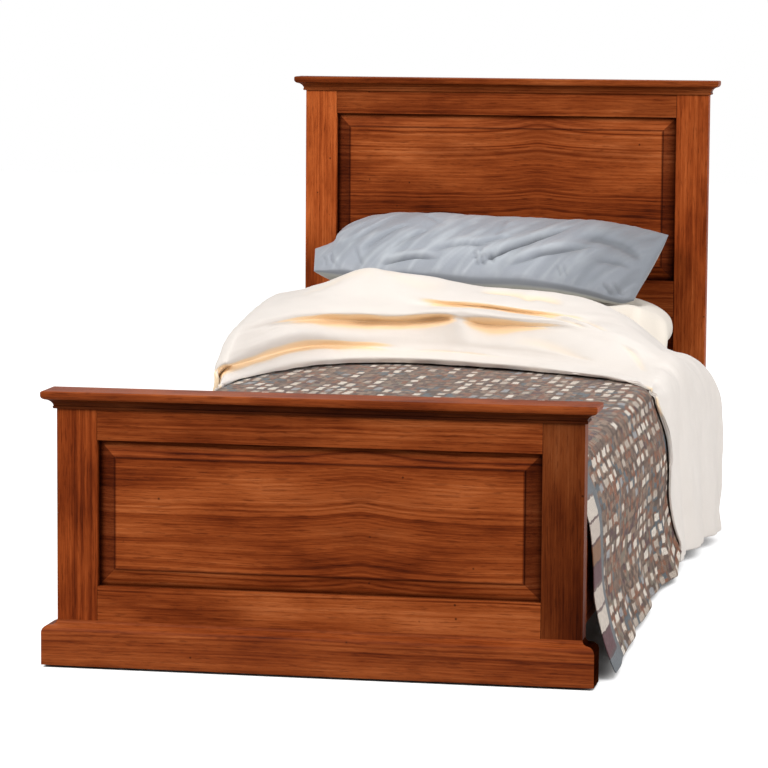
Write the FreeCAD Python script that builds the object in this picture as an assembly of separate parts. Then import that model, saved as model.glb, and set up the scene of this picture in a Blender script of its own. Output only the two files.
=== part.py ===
import FreeCAD, Part
import math
import os
from FreeCAD import Vector

# Single bed in solid wood: a tall headboard and a low footboard, each a frame with a raised panel under a
# moulded cornice, two side rails hooked between them, cambered slats, and the bedding that lies on it.
# Millimetres. X runs across the bed, +Y from the foot to the head, Z up. The origin is on the floor,
# under the middle of the bed.

# Mattress, and the room that the frame leaves round it
mattress_width = 800.0
mattress_length = 1900.0
mattress_height = 170.0
mattress_base_height = 185.0
mattress_edge_radius = 28.0
mattress_corner_radius = 60.0
mattress_edge_facets = 3
mattress_side_gap = 11.0
mattress_foot_gap = 20.0
mattress_head_gap = 15.0

# Posts and the frames between them
post_width = 69.0
post_depth = 40.0
arris_radius = 2.0
frame_thickness = 30.0
tenon_length = 30.0
tenon_thickness = 10.0
tenon_shoulder = 12.0
joint_clearance = 0.2
groove_inset = 14.0
groove_width = 6.4
groove_depth = 10.0
panel_float = 2.0

# Raised panels
panel_field_inset = 4.0
panel_field_step = 2.0
panel_bevel_width = 29.0
panel_edge_gap = 0.6

# Headboard, from the top down
headboard_height = 932.0
head_top_rail_height = 65.0
head_panel_height = 352.0
head_middle_rail_height = 110.0
head_bottom_rail_height = 70.0
head_bottom_rail_base = 110.0

# Footboard, from the top down
footboard_height = 461.0
foot_top_rail_height = 67.0
foot_bottom_rail_height = 76.0
foot_bottom_rail_base = 60.0

# Cornice: a cap board on a coved crown moulding
cap_thickness = 14.0
cap_projection = 22.0
foot_cap_back_projection = 16.0
cap_nose_radius = 7.0
cap_top_radius = 3.0
crown_height = 16.0
crown_projection = 17.0
crown_bead_height = 5.0
crown_bead_projection = 4.0

# Plinth round the footboard
plinth_height = 78.0
plinth_projection = 22.0
plinth_cove = 8.0
plinth_fillet = 2.5

# Felt glides under the posts
glide_radius = 15.0
glide_height = 4.0

# Side rails, and the hooks that hold them to the posts
rail_thickness = 25.0
rail_height = 145.0
rail_base = 90.0
rail_inset = 4.0
rail_edge_radius = 5.0
hook_plate_width = 18.0
hook_plate_height = 116.0
hook_plate_thickness = 2.5
hook_spacing = 48.0
hook_thickness = 4.0
hook_neck_height = 20.0
hook_drop = 8.0
hook_lip = 4.0
socket_plate_thickness = 3.0
hook_clearance = 0.4
screw_shank_radius = 2.0
screw_head_radius = 4.0
screw_head_height = 2.4
hook_screw_length = 22.0
hook_screw_inset = 8.0

# Ledgers and slats
ledger_width = 25.0
ledger_height = 30.0
ledger_end_gap = 30.0
ledger_screw_length = 40.0
ledger_screw_count = 6
slat_count = 13
slat_width = 60.0
slat_thickness = 12.0
slat_camber = 10.0
slat_end_margin = 25.0
slat_cap_length = 30.0
slat_cap_wall = 3.0
seat_gap = 0.3

# Throw over the foot of the bed
throw_thickness = 3.0
throw_rear_gap = 10.0
throw_right_hem = 10.0
throw_left_hem = 150.0
throw_flare = 40.0
throw_fold_depth = 9.0
throw_fold_count = 5
cloth_rail_clearance = 8.0
cloth_edge_ease = 2.0
shoulder_start = 18.0
shoulder_facets = 3

# Blanket, pushed up into a mound before the pillows
blanket_thickness = 5.0
blanket_rear_gap = 270.0
blanket_left_length = 605.0
blanket_right_length = 425.0
blanket_front_rake = 0.79
blanket_right_hem = 36.0
blanket_left_hem = 120.0
blanket_roll_reach = 48.0
blanket_roll_radius = 60.0
blanket_flare = 34.0
blanket_fold_depth = 9.0
blanket_fold_count = 3
blanket_mound_height = 75.0
blanket_ridge_height = 32.0
blanket_ridge_count = 3
blanket_right_share = 0.42

# Pillows: one lies flat, the other leans on it towards the headboard
pillow_edge = 8.0
pillow_side_draw = 12.0
pillow_end_draw = 18.0
pillow_facets = 5
lower_pillow_length = 776.0
lower_pillow_height = 430.0
lower_pillow_thickness = 116.0
lower_pillow_swell = 135.0
lower_pillow_fullness = 2.0
lower_pillow_head_gap = 12.0
upper_pillow_length = 765.0
upper_pillow_height = 295.0
upper_pillow_thickness = 124.0
upper_pillow_swell = 125.0
upper_pillow_fullness = 1.6
upper_pillow_lean = 34.0
upper_pillow_head_gap = 25.0

# Places that follow from the sizes above
bed_width = mattress_width + 2 * (mattress_side_gap + rail_thickness + rail_inset)
rail_length = mattress_length + mattress_foot_gap + mattress_head_gap
bed_length = plinth_projection + 2 * post_depth + rail_length
half_width = bed_width / 2
foot_front = plinth_projection - bed_length / 2
foot_back = foot_front + post_depth
head_front = foot_back + rail_length
head_back = head_front + post_depth
mattress_foot = foot_back + mattress_foot_gap
mattress_head = mattress_foot + mattress_length
mattress_top = mattress_base_height + mattress_height
opening_half = half_width - post_width
rail_outer = half_width - rail_inset
rail_inner = rail_outer - rail_thickness
rail_top = rail_base + rail_height
lower_pillow_middle = mattress_head - lower_pillow_head_gap - lower_pillow_height / 2
blanket_rear = mattress_head - blanket_rear_gap
throw_front = foot_back + foot_cap_back_projection + 2 * cloth_rail_clearance
throw_rear = lower_pillow_middle - lower_pillow_height / 2 - throw_rear_gap


def box(x0, x1, y0, y1, z0, z1):
    return Part.makeBox(x1 - x0, y1 - y0, z1 - z0, Vector(x0, y0, z0))


def joined(shapes):
    return shapes[0].fuse(shapes[1:]).removeSplitter()


def edges_where(shape, test):
    return [edge for edge in shape.Edges if test(edge.BoundBox)]


def flat(low, high):
    return abs(high - low) < 1e-6


def upright_edges(shape):
    return edges_where(shape, lambda b: flat(b.XMin, b.XMax) and flat(b.YMin, b.YMax))


def across(shape):
    return shape.mirror(Vector(0, 0, 0), Vector(1, 0, 0))


def end_for_end(shape):
    return shape.mirror(Vector(0, (foot_back + head_front) / 2, 0), Vector(0, 1, 0))


def rectangle(x0, x1, z0, z1, y):
    corners = [Vector(x0, y, z0), Vector(x1, y, z0), Vector(x1, y, z1), Vector(x0, y, z1)]
    return Part.makePolygon(corners + corners[:1])


# Frames of posts, rails and panels


def groove(x0, x1, front, z0, z1):
    return box(x0, x1, front + groove_inset, front + groove_inset + groove_width, z0, z1)


def tenon(side, front, z0, z1, play=0.0):
    """The tenon of a rail from z0 to z1 at one post, or its mortise where play is the clearance."""
    middle = front + frame_thickness / 2
    ends = sorted([side * (opening_half - play), side * (opening_half + tenon_length + play)])
    return box(ends[0], ends[1], middle - tenon_thickness / 2 - play, middle + tenon_thickness / 2 + play,
               z0 + tenon_shoulder - play, z1 - tenon_shoulder + play)


def post(side, front, top, rails, openings):
    """A post with its arrises eased, mortised for the rails and grooved for the panels."""
    ends = sorted([side * opening_half, side * half_width])
    body = box(ends[0], ends[1], front, front + post_depth, glide_height, top)
    body = body.makeFillet(arris_radius, upright_edges(body))
    cuts = [tenon(side, front, z0, z1, joint_clearance) for z0, z1 in rails]
    grooved = sorted([side * opening_half, side * (opening_half + groove_depth)])
    for z0, z1 in openings:
        cuts.append(groove(grooved[0], grooved[1], front, z0 - groove_depth, z1 + groove_depth))
    return body.cut(cuts)


def cross_rail(front, z0, z1, panel_above, panel_below):
    """A rail between the posts, tenoned at both ends and grooved along the edges that hold a panel."""
    body = box(-opening_half, opening_half, front, front + frame_thickness, z0, z1)
    body = joined([body, tenon(-1, front, z0, z1), tenon(1, front, z0, z1)])
    reach = opening_half + tenon_length
    cuts = []
    if panel_above:
        cuts.append(groove(-reach, reach, front, z1 - groove_depth, z1))
    if panel_below:
        cuts.append(groove(-reach, reach, front, z0, z0 + groove_depth))
    return body.cut(cuts) if cuts else body


def panel_tongue(front, z0, z1):
    reach = groove_depth - panel_float
    return box(-opening_half - reach, opening_half + reach, front + groove_inset + joint_clearance,
               front + groove_inset + groove_width - joint_clearance, z0 - reach, z1 + reach)


def raised_panel(front, z0, z1):
    """A fielded panel: a tongue all round, a bevelled margin and a flat field standing on a small step."""
    margin_y = front + groove_inset + joint_clearance
    step_y = front + panel_field_inset + panel_field_step
    edge = opening_half - panel_edge_gap
    inner = opening_half - panel_bevel_width
    low, high = z0 + panel_bevel_width, z1 - panel_bevel_width
    outer_wire = rectangle(-edge, edge, z0 + panel_edge_gap, z1 - panel_edge_gap, margin_y)
    margin = Part.makeLoft([outer_wire, rectangle(-inner, inner, low, high, step_y)], True, True)
    field = box(-inner, inner, front + panel_field_inset, margin_y, low, high)
    return joined([panel_tongue(front, z0, z1), margin, field])


# Mouldings: each profile runs outwards and up from the face that it is planted on


def profile_face(start, segments):
    """A closed face in the YZ plane. A segment is a line's end point, or an arc's middle and end."""
    def place(p):
        return Vector(0, -p[0], p[1])
    edges, here = [], start
    for segment in segments:
        there = segment[-1]
        if len(segment) == 2:
            edges.append(Part.Arc(place(here), place(segment[0]), place(there)).toShape())
        else:
            edges.append(Part.makeLine(place(here), place(there)))
        here = there
    edges.append(Part.makeLine(place(here), place(start)))
    return Part.Face(Part.Wire(edges))


def arc_middle(centre, radius_out, radius_up, angle):
    turn = math.radians(angle)
    return (centre[0] + radius_out * math.cos(turn), centre[1] + radius_up * math.sin(turn))


def crown_profile(projection):
    """A bead at the foot, then a cove that sweeps out to the cap."""
    bead_middle = (crown_bead_projection + crown_bead_height / 4, crown_bead_height / 2)
    rise, run = crown_height - crown_bead_height, projection - crown_bead_projection
    sweep = (crown_bead_projection + run * 0.34, crown_bead_height + rise * 0.66)
    return profile_face((0.0, 0.0), [
        [(crown_bead_projection, 0.0)],
        [bead_middle, (crown_bead_projection, crown_bead_height)],
        [sweep, (projection, crown_height)],
        [(0.0, crown_height)],
    ])


def plinth_profile():
    """A plain board whose top steps in by a quarter round, a fillet and a cove."""
    height = plinth_height - glide_height
    fillet_z = height - plinth_cove
    round_run = plinth_projection - plinth_cove - plinth_fillet
    cove_middle = arc_middle((plinth_cove, height), -plinth_cove, -plinth_cove, 45)
    round_middle = arc_middle((plinth_projection - round_run, fillet_z - round_run), round_run, round_run, 45)
    return profile_face((0.0, 0.0), [
        [(plinth_projection, 0.0)],
        [(plinth_projection, fillet_z - round_run)],
        [round_middle, (plinth_projection - round_run, fillet_z)],
        [(plinth_cove, fillet_z)],
        [cove_middle, (0.0, height)],
    ])


def moulding(profile, length, mitres, corner, turn):
    """A stick of moulding from corner, turned about Z. An end is mitred where mitres says so, else square."""
    reach = profile.BoundBox.YLength
    start = -reach if mitres[0] else 0.0
    end = length + reach if mitres[1] else length
    stick = profile.copy()
    stick.translate(Vector(start, 0, 0))
    stick = stick.extrude(Vector(end - start, 0, 0))
    for is_mitred, origin, way in ((mitres[0], 0.0, -1), (mitres[1], length, 1)):
        if is_mitred:
            far = origin + way * (reach + 1)
            waste = [(origin - way, 1), (far, -reach - 1), (far, 1), (origin - way, 1)]
            outline = Part.makePolygon([Vector(x, y, -1) for x, y in waste])
            stick = stick.cut(Part.Face(outline).extrude(Vector(0, 0, profile.BoundBox.ZMax + 2)))
    stick.rotate(Vector(0, 0, 0), Vector(0, 0, 1), turn)
    stick.translate(Vector(*corner))
    return stick


def cap_board(front, depth, base):
    """The board on top of a cornice: a rounded nose below, an eased edge above. The depth is over all."""
    x = half_width + cap_projection
    board = box(-x, x, front, front + depth, base, base + cap_thickness)

    def outer(b, z):
        at_back = flat(b.YMin, front + depth) and front + depth > head_back - 1
        return flat(b.ZMin, z) and flat(b.ZMax, z) and not at_back
    board = board.makeFillet(cap_nose_radius, edges_where(board, lambda b: outer(b, base)))
    return board.makeFillet(cap_top_radius, edges_where(board, lambda b: outer(b, base + cap_thickness)))


# Headboard and footboard


def mitred_round(name, profile, front, z):
    """The three lengths of a moulding, mitred round the front and both ends of a board."""
    back = front + post_depth
    return {
        name + "_front": moulding(profile, bed_width, (True, True), (-half_width, front, z), 0),
        name + "_right": moulding(profile, post_depth, (True, False), (half_width, front, z), 90),
        name + "_left": moulding(profile, post_depth, (False, True), (-half_width, back, z), 270),
    }


def headboard():
    top = headboard_height - cap_thickness
    top_rail = (top - head_top_rail_height, top)
    panel = (top_rail[0] - head_panel_height, top_rail[0])
    middle_rail = (panel[0] - head_middle_rail_height, panel[0])
    bottom_rail = (head_bottom_rail_base, head_bottom_rail_base + head_bottom_rail_height)
    lower_panel = (bottom_rail[1], middle_rail[0])
    rails, panels = [top_rail, middle_rail, bottom_rail], [panel, lower_panel]
    nodes = mitred_round("headboard_crown", crown_profile(crown_projection), head_front, top - crown_height)
    nodes.update({
        "headboard_post_left": post(-1, head_front, top, rails, panels),
        "headboard_post_right": post(1, head_front, top, rails, panels),
        "headboard_top_rail": cross_rail(head_front, *top_rail, False, True),
        "headboard_middle_rail": cross_rail(head_front, *middle_rail, True, True),
        "headboard_bottom_rail": cross_rail(head_front, *bottom_rail, True, False),
        "headboard_panel": raised_panel(head_front, *panel),
        "headboard_lower_panel": panel_tongue(head_front, *lower_panel),
        "headboard_cap": cap_board(head_front - cap_projection, cap_projection + post_depth, top),
    })
    return nodes


def footboard():
    top = footboard_height - cap_thickness
    top_rail = (top - foot_top_rail_height, top)
    bottom_rail = (foot_bottom_rail_base, foot_bottom_rail_base + foot_bottom_rail_height)
    panel = (bottom_rail[1], top_rail[0])
    rails, panels = [top_rail, bottom_rail], [panel]
    cap_depth = cap_projection + post_depth + foot_cap_back_projection
    nodes = mitred_round("footboard_crown", crown_profile(crown_projection), foot_front, top - crown_height)
    nodes.update(mitred_round("plinth", plinth_profile(), foot_front, glide_height))
    nodes.update({
        "footboard_post_left": post(-1, foot_front, top, rails, panels),
        "footboard_post_right": post(1, foot_front, top, rails, panels),
        "footboard_top_rail": cross_rail(foot_front, *top_rail, False, True),
        "footboard_bottom_rail": cross_rail(foot_front, *bottom_rail, True, False),
        "footboard_panel": raised_panel(foot_front, *panel),
        "footboard_cap": cap_board(foot_front - cap_projection, cap_depth, top),
    })
    return nodes


def glides():
    x = half_width - post_width / 2
    places = [(side * x, front + post_depth / 2) for side in (-1, 1) for front in (foot_front, head_front)]
    return Part.makeCompound([Part.makeCylinder(glide_radius, glide_height, Vector(px, py, 0))
                              for px, py in places])


# Side rails, hooks and screws


def ring(radius, along, tip, direction):
    """A wire with eight sides round a screw's axis, at a distance along it from the head."""
    spin = FreeCAD.Rotation(Vector(0, 0, 1), direction)
    turns = [math.pi * (i + 0.5) / 4 for i in range(8)]
    points = [tip + spin.multVec(Vector(radius * math.cos(t), radius * math.sin(t), along)) for t in turns]
    return Part.makePolygon(points + points[:1])


def screw(length, tip, direction, play=0.0):
    """A countersunk screw whose head lies flush at tip, or its hole where play is the clearance."""
    head, shank = screw_head_radius + play, screw_shank_radius + play
    stations = ((head, 0.0), (shank, screw_head_height), (shank, length + play))
    return Part.makeLoft([ring(radius, along, tip, direction) for radius, along in stations], True, True)


hook_x = rail_outer - rail_thickness / 2
hook_z = rail_base + rail_height / 2


def hook_seats():
    return [hook_z + way * hook_spacing / 2 - hook_neck_height / 2 for way in (-1, 1)]


def hook_plate_blank(depth, height, y, play=0.0):
    half_wide, half_high = hook_plate_width / 2 + play, height / 2 + play
    return box(hook_x - half_wide, hook_x + half_wide, y, y + depth, hook_z - half_high, hook_z + half_high)


def hook_screw_places():
    reach = hook_plate_height / 2 - hook_screw_inset
    return [Vector(hook_x, foot_back, hook_z + way * reach) for way in (-1, 1)]


def hook(z):
    """One hook: a neck through the socket plate, and a lip that drops behind it."""
    half = hook_thickness / 2
    tip = foot_back - socket_plate_thickness - hook_clearance - hook_lip
    neck = box(hook_x - half, hook_x + half, tip, foot_back, z, z + hook_neck_height)
    lip = box(hook_x - half, hook_x + half, tip, tip + hook_lip, z - hook_drop, z)
    return [neck, lip]


def rail_hook_plate():
    plate = hook_plate_blank(hook_plate_thickness, hook_plate_height, foot_back)
    plate = joined([plate] + [piece for z in hook_seats() for piece in hook(z)])
    inwards = Vector(0, 1, 0)
    return plate.cut([screw(hook_screw_length, p, inwards, joint_clearance) for p in hook_screw_places()])


def post_socket_plate():
    """The slotted plate let into the post. Each slot passes a hook with its lip, which then drops."""
    plate = hook_plate_blank(socket_plate_thickness, hook_plate_height, foot_back - socket_plate_thickness)
    half = hook_thickness / 2 + hook_clearance
    rise = hook_neck_height + hook_drop + hook_clearance
    slots = [box(hook_x - half, hook_x + half, foot_back - socket_plate_thickness, foot_back,
                 z - joint_clearance, z + rise) for z in hook_seats()]
    holes = [screw(hook_screw_length, p, Vector(0, -1, 0), joint_clearance) for p in hook_screw_places()]
    return plate.cut(slots + holes)


def socket_recess():
    """What is cut from a post for the socket plate, its hooks and its screws."""
    seat = hook_plate_blank(socket_plate_thickness, hook_plate_height, foot_back - socket_plate_thickness,
                            joint_clearance)
    depth = socket_plate_thickness + 2 * hook_clearance + hook_lip
    half = hook_thickness / 2 + 2 * hook_clearance
    pockets = [box(hook_x - half, hook_x + half, foot_back - depth, foot_back,
                   z - hook_drop - hook_clearance, z + hook_neck_height + hook_drop + hook_clearance)
               for z in hook_seats()]
    holes = [screw(hook_screw_length, p, Vector(0, -1, 0), joint_clearance) for p in hook_screw_places()]
    return [seat] + pockets + holes


def hook_screws():
    into_rail = [screw(hook_screw_length, p, Vector(0, 1, 0)) for p in hook_screw_places()]
    into_post = [screw(hook_screw_length, p, Vector(0, -1, 0)) for p in hook_screw_places()]
    return into_rail + into_post


def at_each_corner(shapes):
    near = [copy for shape in shapes for copy in (shape, across(shape))]
    return near + [end_for_end(shape) for shape in near]


def ledger_top():
    return mattress_base_height - seat_gap - slat_camber - slat_thickness - slat_cap_wall


def ledger_screw_places():
    first, last = foot_back + ledger_end_gap, head_front - ledger_end_gap
    pitch = (last - first) / ledger_screw_count
    x, z = rail_inner - ledger_width, ledger_top() - ledger_height / 2
    return [Vector(x, first + pitch * (i + 0.5), z) for i in range(ledger_screw_count)]


def side_rail():
    body = box(rail_inner, rail_outer, foot_back, head_front, rail_base, rail_top)
    long_edges = edges_where(body, lambda b: flat(b.XMin, b.XMax) and flat(b.ZMin, b.ZMax))
    body = body.makeFillet(rail_edge_radius, long_edges)
    seat = hook_plate_blank(hook_plate_thickness, hook_plate_height, foot_back, joint_clearance)
    holes = [screw(hook_screw_length, p, Vector(0, 1, 0), joint_clearance) for p in hook_screw_places()]
    end_cuts = [cut for shape in [seat] + holes for cut in (shape, end_for_end(shape))]
    return body.cut(end_cuts + ledger_holes())


def ledger_holes():
    return [screw(ledger_screw_length, p, Vector(1, 0, 0), joint_clearance) for p in ledger_screw_places()]


def ledger():
    body = box(rail_inner - ledger_width, rail_inner, foot_back + ledger_end_gap, head_front - ledger_end_gap,
               ledger_top() - ledger_height, ledger_top())
    return body.cut(ledger_holes())


# Slats


def slat_end():
    return rail_inner - joint_clearance - slat_cap_wall


def slat(y):
    """A slat bent to a shallow arc, crown upwards, so that it gives under the mattress."""
    end, crown = slat_end(), mattress_base_height - seat_gap
    low = crown - slat_camber

    def arc(drop):
        points = [Vector(x, y - slat_width / 2, z - drop) for x, z in ((-end, low), (0, crown), (end, low))]
        return Part.Arc(*points).toShape(), points
    upper, upper_points = arc(0)
    lower, lower_points = arc(slat_thickness)
    sides = [Part.makeLine(upper_points[i], lower_points[i]) for i in (0, 2)]
    section = Part.Wire(Part.__sortEdges__([upper, sides[1], lower, sides[0]]))
    return Part.Face(section).extrude(Vector(0, slat_width, 0))


def slat_cap(y):
    """The sleeve on a slat's end, which sits on the ledger against the rail."""
    end, half = slat_end(), slat_width / 2 + slat_cap_wall
    base, rise = ledger_top(), slat_cap_wall * 2 + slat_thickness
    sleeve = box(end - slat_cap_length, end + slat_cap_wall, y - half, y + half, base, base + rise)
    return sleeve.cut(slat(y))


def slat_places():
    first = mattress_foot + slat_end_margin + slat_width / 2
    last = mattress_head - slat_end_margin - slat_width / 2
    return [first + (last - first) * i / (slat_count - 1) for i in range(slat_count)]


# Mattress


def rounded_outline(inset, z):
    """The mattress's outline at one height: four lines and four quarter arcs, drawn in by the inset."""
    half_x, half_y = mattress_width / 2 - inset, mattress_length / 2 - inset
    radius = mattress_corner_radius - inset
    middle = Vector(0, (mattress_foot + mattress_head) / 2, z)
    edges, here = [], middle + Vector(half_x - radius, -half_y, 0)
    for turn, side_x, side_y in ((-90, 1, -1), (0, 1, 1), (90, -1, 1), (180, -1, -1)):
        centre = middle + Vector(side_x * (half_x - radius), side_y * (half_y - radius), 0)
        bend = []
        for angle in (turn, turn + 45, turn + 90):
            x, y = arc_middle((0.0, 0.0), radius, radius, angle)
            bend.append(centre + Vector(x, y, 0))
        if turn > -90:
            edges.append(Part.makeLine(here, bend[0]))
        edges.append(Part.Arc(*bend).toShape())
        here = bend[2]
    edges.append(Part.makeLine(here, edges[0].Vertexes[0].Point))
    return Part.Wire(edges)


def mattress():
    """A block with rounded corners, whose upper and lower rims are rounded over in facets."""
    turns = [math.radians(90 * i / mattress_edge_facets) for i in range(mattress_edge_facets + 1)]
    radius = mattress_edge_radius
    rim = [(radius * (1 - math.sin(turn)), radius * (1 - math.cos(turn))) for turn in turns]
    low = [rounded_outline(inset, mattress_base_height + rise) for inset, rise in rim]
    high = [rounded_outline(inset, mattress_top - rise) for inset, rise in rim[::-1]]
    return Part.makeLoft(low + high, True, True)


# Draped cloth: a loft through sections that go from hem to hem over the mattress


def drape_side(side, centre_x, top, radius, knee_x, hem_x, hem_z):
    """The points of one side of a section, from the hem up over the shoulder to the top, as (x, z)."""
    turns = [shoulder_start + (90 - shoulder_start) * i / shoulder_facets for i in range(shoulder_facets + 1)]
    shoulder = [arc_middle((centre_x, top - radius), radius, radius, turn) for turn in turns]
    return [(side * x, z) for x, z in [(hem_x, hem_z), (knee_x, rail_top - rail_edge_radius)] + shoulder]


def drape_wire(place, outer, inner):
    """The closed wire of one section. Outer and inner are each a left side, a crown and a right side."""
    over = outer[0] + [outer[1]] + outer[2][::-1]
    under = inner[2] + [inner[1]] + inner[0][::-1]
    points = [place(p) for p in over + under]
    return Part.makePolygon(points + points[:1])


def drape_section(place, thickness, left, right):
    """One section of a cloth. A side is its shoulder's centre, top and radius, then its knee and hem."""
    skins = []
    for grow in (thickness, 0.0):
        sides = []
        for side, (centre_x, top, radius, knee_x, hem_x, hem_z) in ((-1, left), (1, right)):
            knee, hem = knee_x + grow, hem_x + grow
            sides.append(drape_side(side, centre_x, top + grow, radius + grow, knee, hem, hem_z))
        crown = (0.0, (sides[0][-1][1] + sides[1][-1][1]) / 2)
        skins.append((sides[0], crown, sides[1]))
    return drape_wire(place, *skins)


def swing(count, along):
    """How far a fold stands out at one place along the cloth, from -1 to 1. The folds are uneven."""
    return math.sin(2 * math.pi * count * along + 0.9 * math.sin(math.pi * along * 2))


def throw():
    """The throw over the foot of the bed, with its folds opening towards both hems."""
    radius = mattress_edge_radius + seat_gap
    centre_x = mattress_width / 2 - mattress_edge_radius + cloth_edge_ease
    knee_x = rail_outer + cloth_rail_clearance
    stations = throw_fold_count * 3 + 1
    sections = []
    for i in range(stations):
        along = i / (stations - 1)
        sides = []
        for hem, share in ((throw_left_hem, 0.5), (throw_right_hem, 1.0)):
            hem_x = knee_x + share * (throw_flare + throw_fold_depth * swing(throw_fold_count, along))
            sides.append((centre_x, mattress_top + seat_gap, radius, knee_x, hem_x, hem))
        y = throw_front + (throw_rear - throw_front) * along
        sections.append(drape_section(lambda p: Vector(p[0], y, p[1]), throw_thickness, *sides))
    return Part.makeLoft(sections, True, True)


def blanket_lift(along, rear_rise):
    """The mound's height over the mattress at one place from the front edge to the rear, at the left."""
    mound = blanket_mound_height * math.sin(math.pi * along ** 3)
    ridges = blanket_ridge_height * along * math.sin(math.pi * blanket_ridge_count * along) ** 2
    return rear_rise * along, mound + ridges


def blanket():
    """The blanket: rolled out over both edges and ridged across. Its front leans back from hem to top."""
    base = mattress_top + throw_thickness + 2 * seat_gap
    rear_rise = lower_pillow_top(blanket_rear) + 2 * seat_gap - base
    centre_x = mattress_width / 2 - mattress_edge_radius + blanket_roll_reach
    knee_x = centre_x + blanket_roll_radius - blanket_fold_depth
    stations = blanket_fold_count * 4 + 1
    sections = []
    for i in range(stations):
        along = i / (stations - 1)
        lengths = (blanket_left_length, blanket_right_length)
        y_left, y_right = [blanket_rear - length * (1 - along) for length in lengths]
        slope, middle = (y_right - y_left) / mattress_width, (y_right + y_left) / 2
        rake = blanket_front_rake * (1 - along)
        rise, mound = blanket_lift(along, rear_rise)
        fold = blanket_fold_depth * swing(blanket_fold_count, along)
        sides = []
        edges = ((blanket_left_hem, 0.5, 1.0), (blanket_right_hem, 1.0, blanket_right_share))
        for hem, flare, share in edges:
            top = base + rise + share * mound
            hem_x = knee_x + flare * blanket_flare + fold
            sides.append((centre_x, top, blanket_roll_radius, knee_x, hem_x, hem))

        def place(p):
            return Vector(p[0], middle + slope * p[0] + rake * (p[1] - base), p[1])
        sections.append(drape_section(place, blanket_thickness, *sides))
    return Part.makeLoft(sections, True, True)


# Pillows


def pillow_outline(length, height, inset, z):
    """A pillow's outline at one level, its sides drawn in. Its edges stay parallel whatever the inset is."""
    half_x, half_y = length / 2 - inset, height / 2 - inset
    along, up = Vector(length / 4, pillow_side_draw, 0), Vector(pillow_end_draw, height / 4, 0)
    side = Vector(half_x / 2, half_y - pillow_side_draw, 0)
    end = Vector(half_x - pillow_end_draw, half_y / 2, 0)
    corner = side + along * ((end - side).cross(up).z / along.cross(up).z)
    quarter = [end, corner, side]
    points = [(p.x, p.y) for p in quarter] + [(-p.x, p.y) for p in quarter[::-1]]
    points += [(-x, -y) for x, y in points]
    wire = [Vector(x, y, z) for x, y in points + points[:1]]
    return Part.makePolygon(wire)


def pillow_rise(thickness, fullness, share):
    """Half of a pillow's thickness at a share of the way in from its seam to its crown."""
    crown = (1 - (1 - share) ** fullness) ** (1 / fullness)
    return pillow_edge / 2 + (thickness - pillow_edge) / 2 * crown


def on_planes(form):
    """The same solid, with each of its flat patches laid on a true plane."""
    corners = [[vertex.Point for vertex in patch.OuterWire.OrderedVertexes] for patch in form.Faces]
    shell = Part.Shell([Part.Face(Part.makePolygon(points + points[:1])) for points in corners])
    shell.sewShape()
    return Part.Solid(shell)


def pillow_form(length, height, thickness, swell, fullness):
    """A stuffed form: it swells from a thin seam to a crown, its sides drawn in between the corners."""
    shares = [1 - math.cos(math.pi / 2 * i / pillow_facets) for i in range(pillow_facets + 1)]
    levels = [(swell * share, pillow_rise(thickness, fullness, share)) for share in shares]
    under = [pillow_outline(length, height, inset, -z) for inset, z in levels[::-1]]
    over = [pillow_outline(length, height, inset, z) for inset, z in levels]
    return on_planes(Part.makeLoft(under + over, True, True))


def lower_pillow_top(y):
    """The height of the lower pillow's upper side along its middle."""
    inset = lower_pillow_height / 2 - pillow_side_draw - abs(y - lower_pillow_middle)
    share = min(1.0, inset / lower_pillow_swell)
    middle = mattress_top + seat_gap + lower_pillow_thickness / 2
    return middle + pillow_rise(lower_pillow_thickness, lower_pillow_fullness, share)


def lower_pillow():
    form = pillow_form(lower_pillow_length, lower_pillow_height, lower_pillow_thickness, lower_pillow_swell,
                       lower_pillow_fullness)
    form.translate(Vector(0, lower_pillow_middle, mattress_top + seat_gap + lower_pillow_thickness / 2))
    return form


def upper_pillow(bed):
    """The pillow that leans: set clear of the headboard, then let down until it rests on the lower one."""
    form = pillow_form(upper_pillow_length, upper_pillow_height, upper_pillow_thickness, upper_pillow_swell,
                       upper_pillow_fullness)
    form.rotate(Vector(0, 0, 0), Vector(1, 0, 0), upper_pillow_lean)
    seat = form.optimalBoundingBox(True, False)
    start = mattress_top + lower_pillow_thickness + 2 * pillow_edge
    form.translate(Vector(0, head_front - upper_pillow_head_gap - seat.YMax, start - seat.ZMin))
    for _ in range(6):
        form.translate(Vector(0, 0, seat_gap - form.distToShape(bed)[0]))
    return form


# Assembly


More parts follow.
